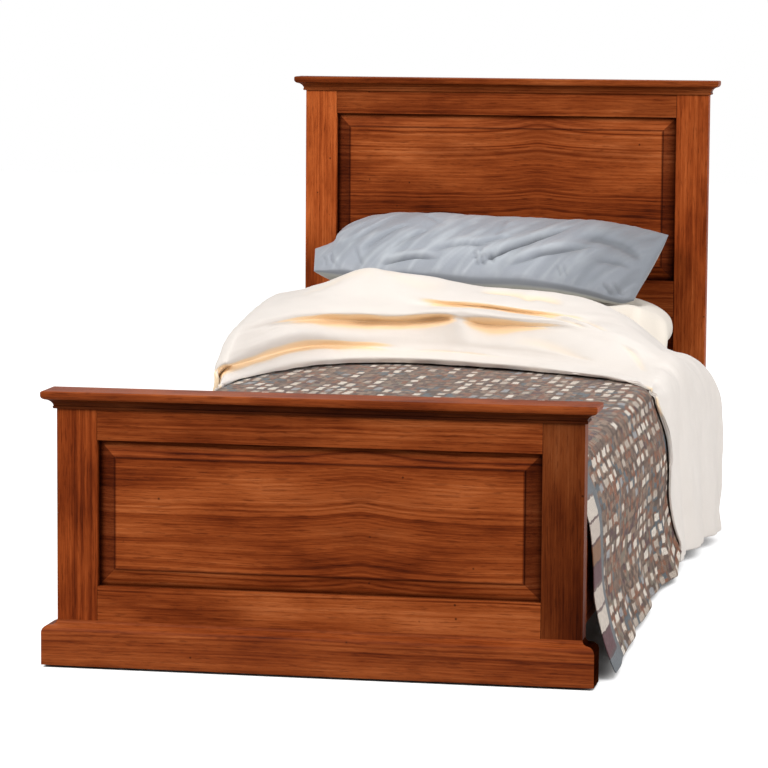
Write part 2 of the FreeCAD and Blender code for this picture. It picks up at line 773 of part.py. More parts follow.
def build():
    nodes = {}
    nodes.update(headboard())
    nodes.update(footboard())
    recess = at_each_corner(socket_recess())
    for board in ("headboard", "footboard"):
        for side in ("left", "right"):
            name = board + "_post_" + side
            nodes[name] = nodes[name].cut(recess)
    nodes["felt_glides"] = glides()
    nodes["side_rail_right"] = side_rail()
    nodes["side_rail_left"] = across(side_rail())
    nodes["ledger_right"] = ledger()
    nodes["ledger_left"] = across(ledger())
    nodes["rail_hook_plates"] = Part.makeCompound(at_each_corner([rail_hook_plate()]))
    nodes["post_socket_plates"] = Part.makeCompound(at_each_corner([post_socket_plate()]))
    nodes["hook_screws"] = Part.makeCompound(at_each_corner(hook_screws()))
    right_screws = [screw(ledger_screw_length, p, Vector(1, 0, 0)) for p in ledger_screw_places()]
    nodes["ledger_screws"] = Part.makeCompound(right_screws + [across(s) for s in right_screws])
    for number, y in enumerate(slat_places(), 1):
        nodes["slat_%02d" % number] = slat(y)
    caps = [slat_cap(y) for y in slat_places()]
    nodes["slat_caps_right"] = Part.makeCompound(caps)
    nodes["slat_caps_left"] = Part.makeCompound([across(cap) for cap in caps])
    nodes["mattress"] = mattress()
    nodes["throw"] = throw()
    nodes["blanket"] = blanket()
    nodes["lower_pillow"] = lower_pillow()
    nodes["upper_pillow"] = upper_pillow(nodes["lower_pillow"])
    return nodes


os.makedirs("parts", exist_ok=True)
for node, shape in build().items():
    shape.exportStep(os.path.join("parts", node + ".step"))
    print(node, len(shape.Solids), "solids", shape.isValid(), "volume", round(shape.Volume / 1000), "cm3")
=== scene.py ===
import bpy, math
import numpy as np
from mathutils import Matrix, Vector, noise
from mathutils.bvhtree import BVHTree


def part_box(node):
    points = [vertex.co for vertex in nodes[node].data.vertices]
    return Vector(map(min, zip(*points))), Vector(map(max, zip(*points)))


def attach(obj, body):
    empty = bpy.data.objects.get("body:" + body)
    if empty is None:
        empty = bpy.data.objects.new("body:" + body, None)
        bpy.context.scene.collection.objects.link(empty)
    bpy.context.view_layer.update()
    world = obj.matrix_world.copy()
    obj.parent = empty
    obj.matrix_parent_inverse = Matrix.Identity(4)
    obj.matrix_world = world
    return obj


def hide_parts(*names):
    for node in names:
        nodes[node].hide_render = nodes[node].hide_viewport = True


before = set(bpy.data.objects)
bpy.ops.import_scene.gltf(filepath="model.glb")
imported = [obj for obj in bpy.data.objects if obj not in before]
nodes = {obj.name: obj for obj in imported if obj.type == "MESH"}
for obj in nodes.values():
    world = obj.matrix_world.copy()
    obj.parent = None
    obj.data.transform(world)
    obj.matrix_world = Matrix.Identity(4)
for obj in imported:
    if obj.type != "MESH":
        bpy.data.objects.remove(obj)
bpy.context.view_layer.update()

scene = bpy.context.scene
scene.view_settings.view_transform = "Standard"
print("frame loaded:", len(nodes), "nodes")

# small helpers for node trees and meshes


def feed(node, inputs):
    # a socket is linked, a constant is set
    for key, value in inputs.items():
        if isinstance(value, bpy.types.NodeSocket):
            node.id_data.links.new(value, node.inputs[key])
        else:
            node.inputs[key].default_value = value


def put(tree, kind, inputs=None, **props):
    node = tree.nodes.new(kind)
    for key, value in props.items():
        setattr(node, key, value)
    feed(node, inputs or {})
    return node


def treeOf(*values):
    return next(value.id_data for value in values if isinstance(value, bpy.types.NodeSocket))


def math1(operation, a, b=0.0, clamp=False):
    tree = treeOf(a, b)
    return put(tree, "ShaderNodeMath", {0: a, 1: b}, operation=operation, use_clamp=clamp).outputs[0]


def times(a, b):
    return math1("MULTIPLY", a, b)


def plus(a, b, clamp=False):
    return math1("ADD", a, b, clamp)


def minus(a, b):
    return math1("SUBTRACT", a, b)


def oneMinus(a):
    return minus(1.0, a)


def blendColor(mode, amount, a, b):
    inputs = {0: amount, 6: a, 7: b}
    return put(treeOf(amount, a, b), "ShaderNodeMix", inputs, data_type="RGBA", blend_type=mode).outputs[2]


def ramp(factor, stops, interpolation="LINEAR"):
    node = put(treeOf(factor), "ShaderNodeValToRGB", {"Fac": factor})
    node.color_ramp.interpolation = interpolation
    while len(node.color_ramp.elements) < len(stops):
        node.color_ramp.elements.new(0.5)
    for element, (place, color) in zip(node.color_ramp.elements, stops):
        element.position = place
        element.color = tuple(color) + (1.0,) if len(color) == 3 else color
    return node.outputs["Color"]


def step(value, low, high):
    inputs = {"Value": value, "From Min": low, "From Max": high}
    node = put(treeOf(value), "ShaderNodeMapRange", inputs, interpolation_type="SMOOTHSTEP")
    return node.outputs["Result"]


def noiseOut(vector, scale, detail, output="Fac"):
    inputs = {"Vector": vector, "Scale": scale, "Detail": detail}
    return put(treeOf(vector), "ShaderNodeTexNoise", inputs).outputs[output]


def emboss(shader, strength, depth, height):
    tree = shader.id_data
    bump = put(tree, "ShaderNodeBump", {"Strength": strength, "Distance": depth, "Height": height})
    tree.links.new(bump.outputs["Normal"], shader.inputs["Normal"])


def newFinish(name):
    material = bpy.data.materials.new(name)
    material.use_nodes = True
    tree = material.node_tree
    return material, tree, tree.nodes["Principled BSDF"]


def wear(obj, material):
    obj.data.materials.clear()
    obj.data.materials.append(material)


def newObject(name, points, faces, smooth=True):
    mesh = bpy.data.meshes.new(name)
    mesh.from_pydata(points, [], faces)
    if smooth:
        mesh.shade_smooth()
    obj = bpy.data.objects.new(name, mesh)
    scene.collection.objects.link(obj)
    return obj


# stained wood

wood = {
    "stain": (  # place on the ramp, colour
        (0.20, (0.060, 0.009, 0.0022)),
        (0.36, (0.150, 0.0255, 0.0048)),
        (0.50, (0.250, 0.0500, 0.0100)),
        (0.64, (0.350, 0.0820, 0.0190)),
        (0.82, (0.480, 0.1350, 0.0400)),
    ),
    "roughness": (0.40, 0.58),  # least and most
    "nookShadeReach": 0.016,
    "fieldHalf": 0.342,  # half width of the flat of the raised panels
    "bandPitch": 0.0068,  # metres between growth lines, about
    "poreDepth": 0.0004,
    "stray": (0.034, 0.006),  # metres that a growth line wanders and wavers
    "arch": (0.0005, -15.0, 0.022),  # roundness, fall and height of the arches where two leaves meet
    "noises": {  # scale along the grain and across it, detail, shift, roughness
        "wander": (1.1, 5.5, 2.0, 3.1, 0.55),
        "waver": (7.0, 24.0, 2.0, 9.4, 0.55),
        "patches": (1.9, 12.0, 2.0, 5.7, 0.55),
        "broad": (2.0, 8.0, 4.0, 21.0, 0.55),
        "cloud": (5.0, 16.0, 3.0, 33.0, 0.55),
        "fibre": (14.0, 520.0, 3.0, 1.3, 0.7),
        "pores": (48.0, 1300.0, 2.0, 8.8, 0.55),
        "flecks": (26.0, 300.0, 3.0, 14.2, 0.55),
        "smoke": (3.2, 15.0, 4.0, 27.5, 0.55),
    },
    "weights": (0.80, 0.60, 0.42),  # of broad, cloud and fibre in the colour
    "marks": {  # amount, then the colour that is laid on
        "pores": (0.42, (0.22, 0.12, 0.10, 1)),
        "flecks": (0.46, (0.30, 0.20, 0.17, 1)),
        "smoke": (0.50, (0.44, 0.33, 0.28, 1)),
        "specks": (0.75, (0.020, 0.006, 0.003, 1)),
        "ends": (0.9, (0.42, 0.36, 0.38, 1)),
        "rim": (0.75, (0.25, 0.16, 0.14, 1)),
        # painted shade in corners and recesses
        "nookShade": (0.9, (0.16, 0.10, 0.09, 1)),
    },
}


def woodFinish(name, grain, seed=0.0, toneAndShade=1.0, mirror=None, field=None, figure=1.0, gloss=0.03):
    material, tree, shader = newFinish(name)
    place = put(tree, "ShaderNodeTexCoord").outputs["Object"]
    axes = put(tree, "ShaderNodeSeparateXYZ", {"Vector": place})
    along, across, deep = {"x": (0, 2, 1), "y": (1, 2, 0), "z": (2, 0, 1)}[grain]
    run = axes.outputs[along]
    if mirror is not None:  # two leaves opened like a book
        run = math1("ABSOLUTE", minus(run, mirror))
    width = axes.outputs[across]
    depth = plus(axes.outputs[deep], seed)

    def grainNoise(kind):
        alongScale, acrossScale, detail, shift, rough = wood["noises"][kind]
        vector = put(tree, "ShaderNodeCombineXYZ", {
            "X": times(run, alongScale),
            "Y": times(width, acrossScale),
            "Z": plus(times(depth, acrossScale * 0.5), shift)}).outputs[0]
        inputs = {"Vector": vector, "Scale": 1.0, "Detail": detail, "Roughness": rough}
        return put(tree, "ShaderNodeTexNoise", inputs).outputs["Fac"]

    def bands(pitch, shift):
        spot = plus(math1("DIVIDE", line, pitch), shift + seed * 7.0)
        inputs = {"W": spot, "Scale": 1.0, "Detail": 3.0, "Roughness": 0.6}
        return put(tree, "ShaderNodeTexNoise", inputs, noise_dimensions="1D").outputs["Fac"]

    def mark(kind, mask, mode="MULTIPLY"):
        amount, tint = wood["marks"][kind]
        return blendColor(mode, times(mask, amount), color, tint)

    wander = minus(grainNoise("wander"), 0.5)
    waver = minus(grainNoise("waver"), 0.5)
    line = plus(width, times(wander, wood["stray"][0] * figure))
    line = plus(line, times(waver, wood["stray"][1] * figure))
    if mirror is not None:  # arches where the leaves meet
        roundness, fall, height = wood["arch"]
        spread = math1("SQRT", plus(times(run, run), roundness))
        bow = math1("POWER", 2.718, times(spread, fall))
        line = minus(line, times(bow, height))
    growth = bands(wood["bandPitch"], 0.0)
    streak = step(bands(wood["bandPitch"] * 2.6, 40.0), 0.57, 0.70)
    streak = times(streak, step(grainNoise("patches"), 0.42, 0.62))
    broad = grainNoise("broad")
    cloud = grainNoise("cloud")
    fibre = grainNoise("fibre")
    pores = step(grainNoise("pores"), 0.59, 0.70)
    flecks = step(grainNoise("flecks"), 0.56, 0.68)
    smoke = step(grainNoise("smoke"), 0.52, 0.72)
    value = times(minus(growth, 0.5), 0.24 + 0.24 * figure)
    for layer, weight in zip((broad, cloud, fibre), wood["weights"]):
        value = plus(value, times(minus(layer, 0.5), weight))
    value = plus(value, 0.52)
    value = minus(value, times(streak, 0.20 * figure))
    color = ramp(value, wood["stain"])
    color = mark("pores", pores)
    color = mark("flecks", flecks)
    if mirror is not None:  # darker figure where the leaves meet
        heart = oneMinus(step(run, 0.0, 0.17))
        smoke = plus(smoke, times(heart, step(cloud, 0.46, 0.62)), True)
    color = mark("smoke", smoke)
    cells = put(tree, "ShaderNodeTexVoronoi", {"Vector": place, "Scale": 34.0})
    drawn = put(tree, "ShaderNodeSeparateColor", {"Color": cells.outputs["Color"]}).outputs[0]
    chosen = math1("GREATER_THAN", drawn, 0.80)
    specks = oneMinus(step(cells.outputs["Distance"], 0.03, 0.10))
    color = mark("specks", times(chosen, specks), "MIX")
    if field is not None:  # half width, middle and half height of the flat of a raised panel
        rise = math1("ABSOLUTE", minus(axes.outputs[2], field[1]))
        overX = minus(math1("ABSOLUTE", axes.outputs[0]), field[0])
        overZ = minus(rise, field[2])
        beside = math1("GREATER_THAN", overX, 0.0)
        color = mark("ends", times(beside, math1("GREATER_THAN", overX, overZ)))
        rim = math1("ABSOLUTE", math1("MAXIMUM", overX, overZ))
        color = mark("rim", oneMinus(step(rim, 0.0008, 0.0034)))
    # the piece's tone; on the footboard's posts, the crowns and the plinth's right end it is also painted
    # light and shade
    if toneAndShade != 1.0:
        color = blendColor("MULTIPLY", 1.0, color, (toneAndShade, toneAndShade, toneAndShade, 1))
    reach = {"Distance": wood["nookShadeReach"]}
    nookShade = put(tree, "ShaderNodeAmbientOcclusion", reach, samples=8).outputs["AO"]
    color = mark("nookShade", oneMinus(step(nookShade, 0.30, 0.86)))  # painted shade: darker in corners and recesses, by ambient occlusion
    least, most = wood["roughness"]
    sheen = put(tree, "ShaderNodeMapRange", {"Value": fibre, "To Min": least, "To Max": most})
    feed(shader, {"Base Color": color, "Roughness": sheen.outputs["Result"], "Specular IOR Level": gloss})
    emboss(shader, 0.5, wood["poreDepth"], minus(times(fibre, 0.4), pores))
    return material


woodPieces = {  # node: grain, seed, tone (on some pieces also painted light and shade), other settings
    "headboard_post_left": ("z", 0.3, 1.5, {"figure": 0.35}),
    "headboard_post_right": ("z", 1.7, 1.22, {"figure": 0.35}),
    "headboard_top_rail": ("x", 2.9, 0.88),
    "headboard_middle_rail": ("x", 4.1, 0.9),
    "headboard_bottom_rail": ("x", 5.3, 0.9),
    "headboard_panel": ("x", 6.7, 0.98, {"mirror": 0.072, "figure": 1.25, "field": "panel"}),
    "headboard_lower_panel": ("x", 7.7, 0.9),
    "headboard_cap": ("x", 8.2, 0.86),
    # painted shade in the cove under the cap
    "headboard_crown_front": ("x", 9.1, 0.6),
    "headboard_crown_left": ("y", 9.6, 0.6),
    "headboard_crown_right": ("y", 9.9, 0.6),
    # painted light on the left post and painted shade on the right one
    "footboard_post_left": ("z", 10.4, 1.28, {"figure": 0.35}),
    "footboard_post_right": ("z", 11.2, 0.52, {"figure": 0.35}),
    "footboard_top_rail": ("x", 12.3, 0.92),
    "footboard_bottom_rail": ("x", 13.9, 0.98),
    "footboard_panel": ("x", 15.2, 1, {"mirror": 0.072, "figure": 1.25, "field": "panel"}),
    "footboard_cap": ("x", 16.8, 1.0, {"gloss": 0.05}),
    # painted shadow of the cap in the cove
    "footboard_crown_front": ("x", 17.3, 0.34),
    "footboard_crown_left": ("y", 17.9, 0.34),
    "footboard_crown_right": ("y", 18.4, 0.34),
    "plinth_front": ("x", 19.6, 0.96, {"gloss": 0.06}),
    "plinth_left": ("y", 20.3, 0.6),
    # painted shade on the plinth's end
    "plinth_right": ("y", 21.1, 0.10, {"gloss": 0.0}),
    "side_rail_left": ("y", 22.5, 0.92),
    "side_rail_right": ("y", 23.8, 0.92),
    "ledger_left": ("y", 24.2, 0.85),
    "ledger_right": ("y", 25.4, 0.85),
}
for piece, (grain, seed, toneAndShade, *more) in woodPieces.items():
    extras = dict(*more)
    if "field" in extras:
        low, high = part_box(piece)
        inset = high[0] - wood["fieldHalf"]
        extras["field"] = (wood["fieldHalf"], (low[2] + high[2]) / 2, (high[2] - low[2]) / 2 - inset)
    wear(nodes[piece], woodFinish(piece + "_stain", grain, seed, toneAndShade, **extras))
print("stained wood on", len(woodPieces), "pieces")

# plain fittings


def speckleFinish(name, low, high, scale, roughness, depth, metal=0.0):
    material, tree, shader = newFinish(name)
    place = put(tree, "ShaderNodeTexCoord").outputs["Object"]
    grain = noiseOut(place, scale, 4.0)
    color = ramp(grain, [(0.3, low), (0.7, high)])
    feed(shader, {"Base Color": color, "Roughness": roughness, "Metallic": metal})
    emboss(shader, 0.4, depth, grain)
    return material


beechSet = {
    "stretch": (9.0, 260.0, 120.0),  # the grain runs across the bed
    "colors": ((0.25, (0.50, 0.30, 0.14)), (0.5, (0.63, 0.42, 0.22)), (0.8, (0.72, 0.52, 0.31))),
    "roughness": 0.5,
}


def beechFinish():
    material, tree, shader = newFinish("slat_beech")
    place = put(tree, "ShaderNodeTexCoord").outputs["Object"]
    stretched = put(tree, "ShaderNodeMapping", {"Vector": place, "Scale": beechSet["stretch"]})
    grain = noiseOut(stretched.outputs[0], 1.0, 4.0)
    color = ramp(grain, beechSet["colors"])
    feed(shader, {"Base Color": color, "Roughness": beechSet["roughness"]})
    emboss(shader, 0.3, 0.0003, grain)
    return material


fittings = {
    "steel": ((0.36, 0.36, 0.35), (0.55, 0.55, 0.53), 900.0, 0.38, 0.00005, 1.0),
    "cap": ((0.012, 0.012, 0.013), (0.030, 0.030, 0.031), 1500.0, 0.55, 0.0001, 0.0),
    "felt": ((0.06, 0.045, 0.035), (0.12, 0.095, 0.075), 700.0, 0.95, 0.0008, 0.0),
}
steel = speckleFinish("zinc_plated_steel", *fittings["steel"])
capPlastic = speckleFinish("moulded_plastic", *fittings["cap"])
felt = speckleFinish("pressed_felt", *fittings["felt"])
beech = beechFinish()
for piece, obj in nodes.items():
    if piece.startswith("slat_caps"):
        wear(obj, capPlastic)
    elif piece.startswith("slat_"):
        wear(obj, beech)
    elif piece in ("rail_hook_plates", "post_socket_plates", "hook_screws", "ledger_screws"):
        wear(obj, steel)
    elif piece == "felt_glides":
        wear(obj, felt)
print("fittings finished")

# stage, light and camera

stageSet = {
    "half": 14.0,  # metres
    "floor": {"Base Color": (0.50, 0.50, 0.50, 1), "Roughness": 0.9, "Specular IOR Level": 0.1},
    "glow": 0.84,
    "shadeReach": 0.45,
    "shade": (0.16, 0.50),  # dark under the bed
    "shown": {"Color": (1, 1, 1, 1), "Strength": 1.0},  # what the camera sees around
    "lit": {"Color": (0.95, 0.97, 1.0, 1), "Strength": 0.36},
}
lamps = {  # place, target, size in metres, power, colour
    "key": ((-3.2, -4.6, 4.2), (0, 0, 0.4), 3.6, 300.0, (1.0, 0.97, 0.93)),
    "fill": ((5.0, -1.6, 2.2), (0, 0.0, 0.4), 3.0, 178.0, (1.0, 0.98, 0.96)),
    "top": ((-0.6, 0.6, 4.6), (0, 0.4, 0.3), 3.2, 42.0, (1.0, 0.99, 0.97)),
}


def makeStage():
    half = stageSet["half"]
    corners = [(-half, -half, 0), (half, -half, 0), (half, half, 0), (-half, half, 0)]
    floor = newObject("floor", corners, [(0, 1, 2, 3)], False)
    material, tree, shader = newFinish("pale_floor")
    feed(shader, stageSet["floor"])
    rays = put(tree, "ShaderNodeLightPath")
    seen = math1("MAXIMUM", rays.outputs["Is Camera Ray"], rays.outputs["Is Glossy Ray"])
    reach = {"Distance": stageSet["shadeReach"]}
    clear = put(tree, "ShaderNodeAmbientOcclusion", reach, samples=12).outputs["AO"]
    seen = times(seen, step(clear, *stageSet["shade"]))
    strength = times(seen, stageSet["glow"])
    glow = put(tree, "ShaderNodeEmission", {"Color": (1, 1, 1, 1), "Strength": strength})
    both = put(tree, "ShaderNodeAddShader", {0: shader.outputs[0], 1: glow.outputs[0]})
    tree.links.new(both.outputs[0], tree.nodes["Material Output"].inputs["Surface"])
    wear(floor, material)


def makeWorld():
    world = bpy.data.worlds.new("studio")
    scene.world = world
    world.use_nodes = True
    tree = world.node_tree
    rays = put(tree, "ShaderNodeLightPath")
    bent = math1("MAXIMUM", rays.outputs["Is Glossy Ray"], rays.outputs["Is Transmission Ray"])
    seen = math1("MAXIMUM", rays.outputs["Is Camera Ray"], bent)
    shown = put(tree, "ShaderNodeBackground", stageSet["shown"])
    lit = put(tree, "ShaderNodeBackground", stageSet["lit"])
    mixed = put(tree, "ShaderNodeMixShader", {"Fac": seen, 1: lit.outputs[0], 2: shown.outputs[0]})
    tree.links.new(mixed.outputs[0], tree.nodes["World Output"].inputs["Surface"])


def areaLight(name, place, target, size, power, color):
    light = bpy.data.lights.new(name, "AREA")
    light.shape = "DISK"
    light.size = size
    light.energy = power
    light.color = color
    obj = bpy.data.objects.new(name, light)
    obj.location = place
    obj.rotation_euler = (Vector(target) - Vector(place)).to_track_quat("-Z", "Y").to_euler()
    scene.collection.objects.link(obj)


cameraSet = {
    "place": (1.1652, -6.5899, 1.1251),
    "yaw": 10.6807,  # degrees, as the next two
    "pitch": 6.4021,
    "roll": 0.4025,
    "lens": 165.53,
}


def makeCamera():
    data = bpy.data.cameras.new("camera")
    data.sensor_width = 36.0
    data.lens = cameraSet["lens"]
    camera = bpy.data.objects.new("camera", data)
    yaw, pitch, roll = [math.radians(cameraSet[key]) for key in ("yaw", "pitch", "roll")]
    look = Vector((-math.sin(yaw) * math.cos(pitch), math.cos(yaw) * math.cos(pitch), -math.sin(pitch)))
    level = Vector((math.cos(yaw), math.sin(yaw), 0))
    upright = level.cross(look)
    right = level * math.cos(roll) + upright * math.sin(roll)
    up = upright * math.cos(roll) - level * math.sin(roll)
    turn = Matrix((right, up, -look)).transposed().to_4x4()
    camera.matrix_world = Matrix.Translation(cameraSet["place"]) @ turn
    scene.collection.objects.link(camera)
    scene.camera = camera


makeStage()
makeWorld()
for name, lamp in lamps.items():
    areaLight(name, *lamp)
makeCamera()
print("stage, light and camera set")

# soft goods: shared helpers

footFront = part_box("footboard_post_left")[0][1]
mattressLow, mattressHigh = [Vector(corner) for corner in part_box("mattress")]


def hermite(knots, values, at):
    knots, values, at = np.asarray(knots, float), np.asarray(values, float), np.asarray(at, float)
    slopes = np.gradient(values, knots, axis=0)
    index = np.clip(np.searchsorted(knots, at, side="right") - 1, 0, len(knots) - 2)
    gap = knots[index + 1] - knots[index]
    t = (at - knots[index]) / gap
    if values.ndim == 2:
        gap, t = gap[:, None], t[:, None]
    curve = (2 * t ** 3 - 3 * t ** 2 + 1) * values[index] + (t ** 3 - 2 * t ** 2 + t) * gap * slopes[index]
    curve = curve + (3 * t ** 2 - 2 * t ** 3) * values[index + 1]
    return curve + (t ** 3 - t ** 2) * gap * slopes[index + 1]


def ease(value, low, high):
    t = np.clip((value - low) / (high - low), 0, 1)
    return t * t * (3 - 2 * t)


def noiseAt(points, scale, seed=0.0):
    shift = Vector((seed, seed * 1.7, -seed))
    places = [Vector((p[0] * scale[0], p[1] * scale[1], p[2] * scale[2])) for p in points]
    return np.array([noise.noise(place + shift) for place in places])


def gridNormals(points):
    along, across = np.gradient(points, axis=0), np.gradient(points, axis=1)
    normal = np.cross(across, along)
    return normal / np.maximum(np.linalg.norm(normal, axis=2, keepdims=True), 1e-9)


def quads(grid):
    return grid[:-1, :-1], grid[:-1, 1:], grid[1:, 1:], grid[1:, :-1]


def gridFaces(number):
    return np.stack(quads(number), axis=-1).reshape(-1, 4)


def gridMesh(name, points, flat):
    rows, columns = points.shape[:2]
    number = np.arange(rows * columns).reshape(rows, columns)
    obj = newObject(name, points.reshape(-1, 3).tolist(), gridFaces(number).tolist())
    mesh = obj.data
    layer = mesh.uv_layers.new(name="flat")
    corner = np.empty(len(mesh.loops), dtype=np.int32)
    mesh.loops.foreach_get("vertex_index", corner)
    layer.data.foreach_set("uv", flat.reshape(-1, 2)[corner].ravel())
    return obj


def flatCoordinates(points):
    across = np.linalg.norm(np.diff(points, axis=1), axis=2).mean(axis=0)
    along = np.linalg.norm(np.diff(points, axis=0), axis=2).mean(axis=1)
    u = np.concatenate([[0], np.cumsum(across)])
    v = np.concatenate([[0], np.cumsum(along)])
    return np.stack(np.broadcast_arrays(u[None, :], v[:, None]), axis=-1)


def paint(obj, name, values):
    layer = obj.data.attributes.new(name, "FLOAT", "POINT")
    layer.data.foreach_set("value", np.ascontiguousarray(values, dtype=np.float32))


def soften(obj):
    smooth = obj.modifiers.new("smooth", "SUBSURF")
    smooth.levels = smooth.render_levels = 1


def thicken(obj, thickness):
    shell = obj.modifiers.new("thickness", "SOLIDIFY")
    shell.thickness = thickness
    shell.offset = -1.0
    soften(obj)


def rayBody(obj):
    mesh = obj.data
    return BVHTree.FromPolygons([v.co for v in mesh.vertices], [p.vertices for p in mesh.polygons])


def cottonFinish(name, low, high, threadPitch, depth, roughness, sheen, tints=None):
    material, tree, shader = newFinish(name)
    place = put(tree, "ShaderNodeTexCoord").outputs["Object"]
    threads = noiseOut(place, 1.0 / threadPitch, 3.0)
    mottle = noiseOut(place, 9.0, 3.0)
    value = plus(times(threads, 0.5), times(mottle, 0.5))
    color = ramp(value, [(0.30, low), (0.70, high)])
    for mark, tint in (tints or {}).items():  # painted on the mesh: the tape's colour, painted shade and painted highlights
        amount = put(tree, "ShaderNodeAttribute", attribute_name=mark).outputs["Fac"]
        color = blendColor("MIX", amount, color, tuple(tint) + (1,))
    feed(shader, {"Base Color": color, "Roughness": roughness})
    feed(shader, {"Sheen Weight": sheen, "Specular IOR Level": 0.2})
    emboss(shader, 0.35, depth, threads)
    return material


# mattress

mattressSet = {
    "corner": 0.060,  # metres, seen from above
    "profile": (  # way in from the side and height over the underside in mm, share of tape
        (300, 4, 0), (60, 1, 0), (22, 1, 0), (12, 3, 0), (6.5, 7, 0),
        (3, 9, 1), (0.5, 12, 1), (0.5, 16, 1), (3, 19, 1), (6.5, 21, 0),
        (4.5, 30, 0), (2, 52, 0), (1, 84, 0), (2, 116, 0), (4.5, 138, 0),
        (6.5, 147, 0), (3, 149, 1), (0.5, 152, 1), (0.5, 156, 1), (3, 159, 1),
        (6.5, 161, 0), (12, 165, 0), (22, 167, 0), (60, 168, 0), (300, 168, 0)),
    "cotton": ((0.66, 0.63, 0.56), (0.76, 0.73, 0.66), 0.002, 0.0006, 0.85, 0.2),
    "tints": {"tape": (0.36, 0.33, 0.29)},
    "sidePitch": 0.05,
}


def mattressRing(inset, z):
    # level ring round the mattress, with the same number of points at every inset
    half = (mattressHigh - mattressLow) / 2
    middle = (mattressHigh + mattressLow) / 2
    radius = max(mattressSet["corner"] - inset, 0.004)
    ring = []
    for number in range(4):
        turn = (number + np.linspace(0, 1, 9)) * math.pi / 2
        signX = 1 if number in (0, 3) else -1
        signY = 1 if number in (0, 1) else -1
        x = signX * (half.x - inset - radius) + radius * np.cos(turn)
        y = signY * (half.y - inset - radius) + radius * np.sin(turn)
        ring.append(np.stack([x, y], axis=1))
    corners = np.concatenate(ring)
    ring = []
    for number in range(4):  # points along the straight side after each corner
        last, first = corners[number * 9 + 8], corners[(number * 9 + 9) % 36]
        steps = int((half.y if number % 2 else half.x) / mattressSet["sidePitch"])
        share = np.linspace(0, 1, steps + 2)[1:-1, None]
        ring += [corners[number * 9:number * 9 + 9], last + (first - last) * share]
    ring = np.concatenate(ring)
    return np.column_stack([ring + np.array(middle.xy), np.full(len(ring), mattressLow.z + z)])


def makeMattress():
    rings = np.array([mattressRing(inset / 1000, z / 1000) for inset, z, tape in mattressSet["profile"]])
    rows, count = rings.shape[:2]
    number = np.arange(rows * count).reshape(rows, count)
    ahead = np.roll(number, -1, axis=1)
    faces = np.stack([number[:-1], ahead[:-1], ahead[1:], number[1:]], axis=-1).reshape(-1, 4).tolist()
    faces += [number[0, ::-1].tolist(), number[-1].tolist()]
    obj = newObject("mattress_cover", rings.reshape(-1, 3).tolist(), faces)
    paint(obj, "tape", np.repeat([tape for inset, z, tape in mattressSet["profile"]], count))
    wear(obj, cottonFinish("mattress_ticking", *mattressSet["cotton"], mattressSet["tints"]))
    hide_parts("mattress")
    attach(obj, "bedding")
    return obj


makeMattress()
print("mattress made")

# woven throw

throwSet = {
    "thickness": 0.003,
    "front": 0.072,  # metres behind the footboard's front
    "length": 1.432,
    "halfTop": 0.385,
    "edgeRadius": 0.030,
    "rightHem": 0.010,
    "leftHem": 0.150,
    "fall": (  # share of the drop, way out
        (0.0, 0.214, 0.409, 0.616, 0.745, 0.843, 0.925, 1.0),
        (0.0, 0.023, 0.028, 0.030, 0.038, 0.046, 0.055, 0.065)),
    "fallUnder": (0.0, 0.016, 0.0255, 0.026, 0.027, 0.028, 0.029, 0.030),  # where the blanket lies on it
    "hemSway": (  # share of the length, way out of the hem
        (0.0, 0.07, 0.22, 0.344, 0.504, 0.605, 0.655, 0.69, 0.76, 1.0),
        (0.005, 0.001, -0.008, -0.011, -0.019, -0.022, -0.013, -0.002, 0.0, 0.0)),
    "foldDepth": 0.004,
    "folds": (4.6, 9.3),  # broad and fine folds along the drop
    "foldDrift": (1.4, 4.0),  # how far and how fast their spacing drifts
    "sway": 0.006,
    "rise": 0.0015,  # over the mattress
    "covered": (0.785, 0.835),  # shares of the length where the blanket comes to lie on it
    "shorter": (0.71, 0.80),  # shares of the length where the blanket hides a shorter hem
    "tuck": 0.045,
    "swell": 0.0016,
    "least": 0.006,  # over the floor
    "railFace": 0.4405,  # the cloth stays outside the side rails
    "railTop": 0.240,
    "railLean": 0.28,
    "hangFrom": 0.026,  # under the top of the mattress
    "rowWidth": 0.022,  # width of one row of woven dashes, across the bed
    "dashLength": 0.066,
    "stray": (0.011, 0.024),  # how far the yarns stray, across and along
    "ground": (
        (0.00, (0.110, 0.128, 0.142)), (0.17, (0.205, 0.138, 0.102)), (0.30, (0.105, 0.069, 0.053)),
        (0.42, (0.275, 0.188, 0.137)), (0.54, (0.235, 0.100, 0.056)), (0.66, (0.165, 0.108, 0.080)),
        (0.78, (0.100, 0.052, 0.052)), (0.88, (0.215, 0.178, 0.137))),
    "dash": (
        (0.0, (0.72, 0.63, 0.54)), (0.35, (0.52, 0.44, 0.37)), (0.6, (0.80, 0.72, 0.63)),
        (0.85, (0.34, 0.34, 0.35))),
    "border": (
        (0.0, (0.55, 0.47, 0.41)), (0.24, (0.120, 0.058, 0.064)), (0.46, (0.62, 0.55, 0.48)),
        (0.64, (0.230, 0.120, 0.066)), (0.84, (0.160, 0.175, 0.190))),
    "borderWidth": 0.150,
    "borderPlain": (0.150, 0.160, 0.170, 1),
    "borderGap": (0.10, 0.055, 0.055, 1),
    "furrow": (0.40, 0.34, 0.30, 1),
    "blockWidth": 0.036,
}


def drapeFall(top, hem, steps, fall):
    # one side of the throw over the mattress's edge, from the top out and down to its hem
    radius = throwSet["edgeRadius"]
    turn = np.linspace(0, math.pi / 2, 12)
    bend = np.stack([throwSet["halfTop"] + radius * np.sin(turn), top - radius * (1 - np.cos(turn))], axis=1)
    z = np.linspace(bend[-1, 1], hem, steps)[1:]
    share = (bend[-1, 1] - z) / (bend[-1, 1] - throwSet["rightHem"])
    hang = np.stack([bend[-1, 0] + hermite(throwSet["fall"][0], fall, share), z], axis=1)
    return np.concatenate([bend, hang])


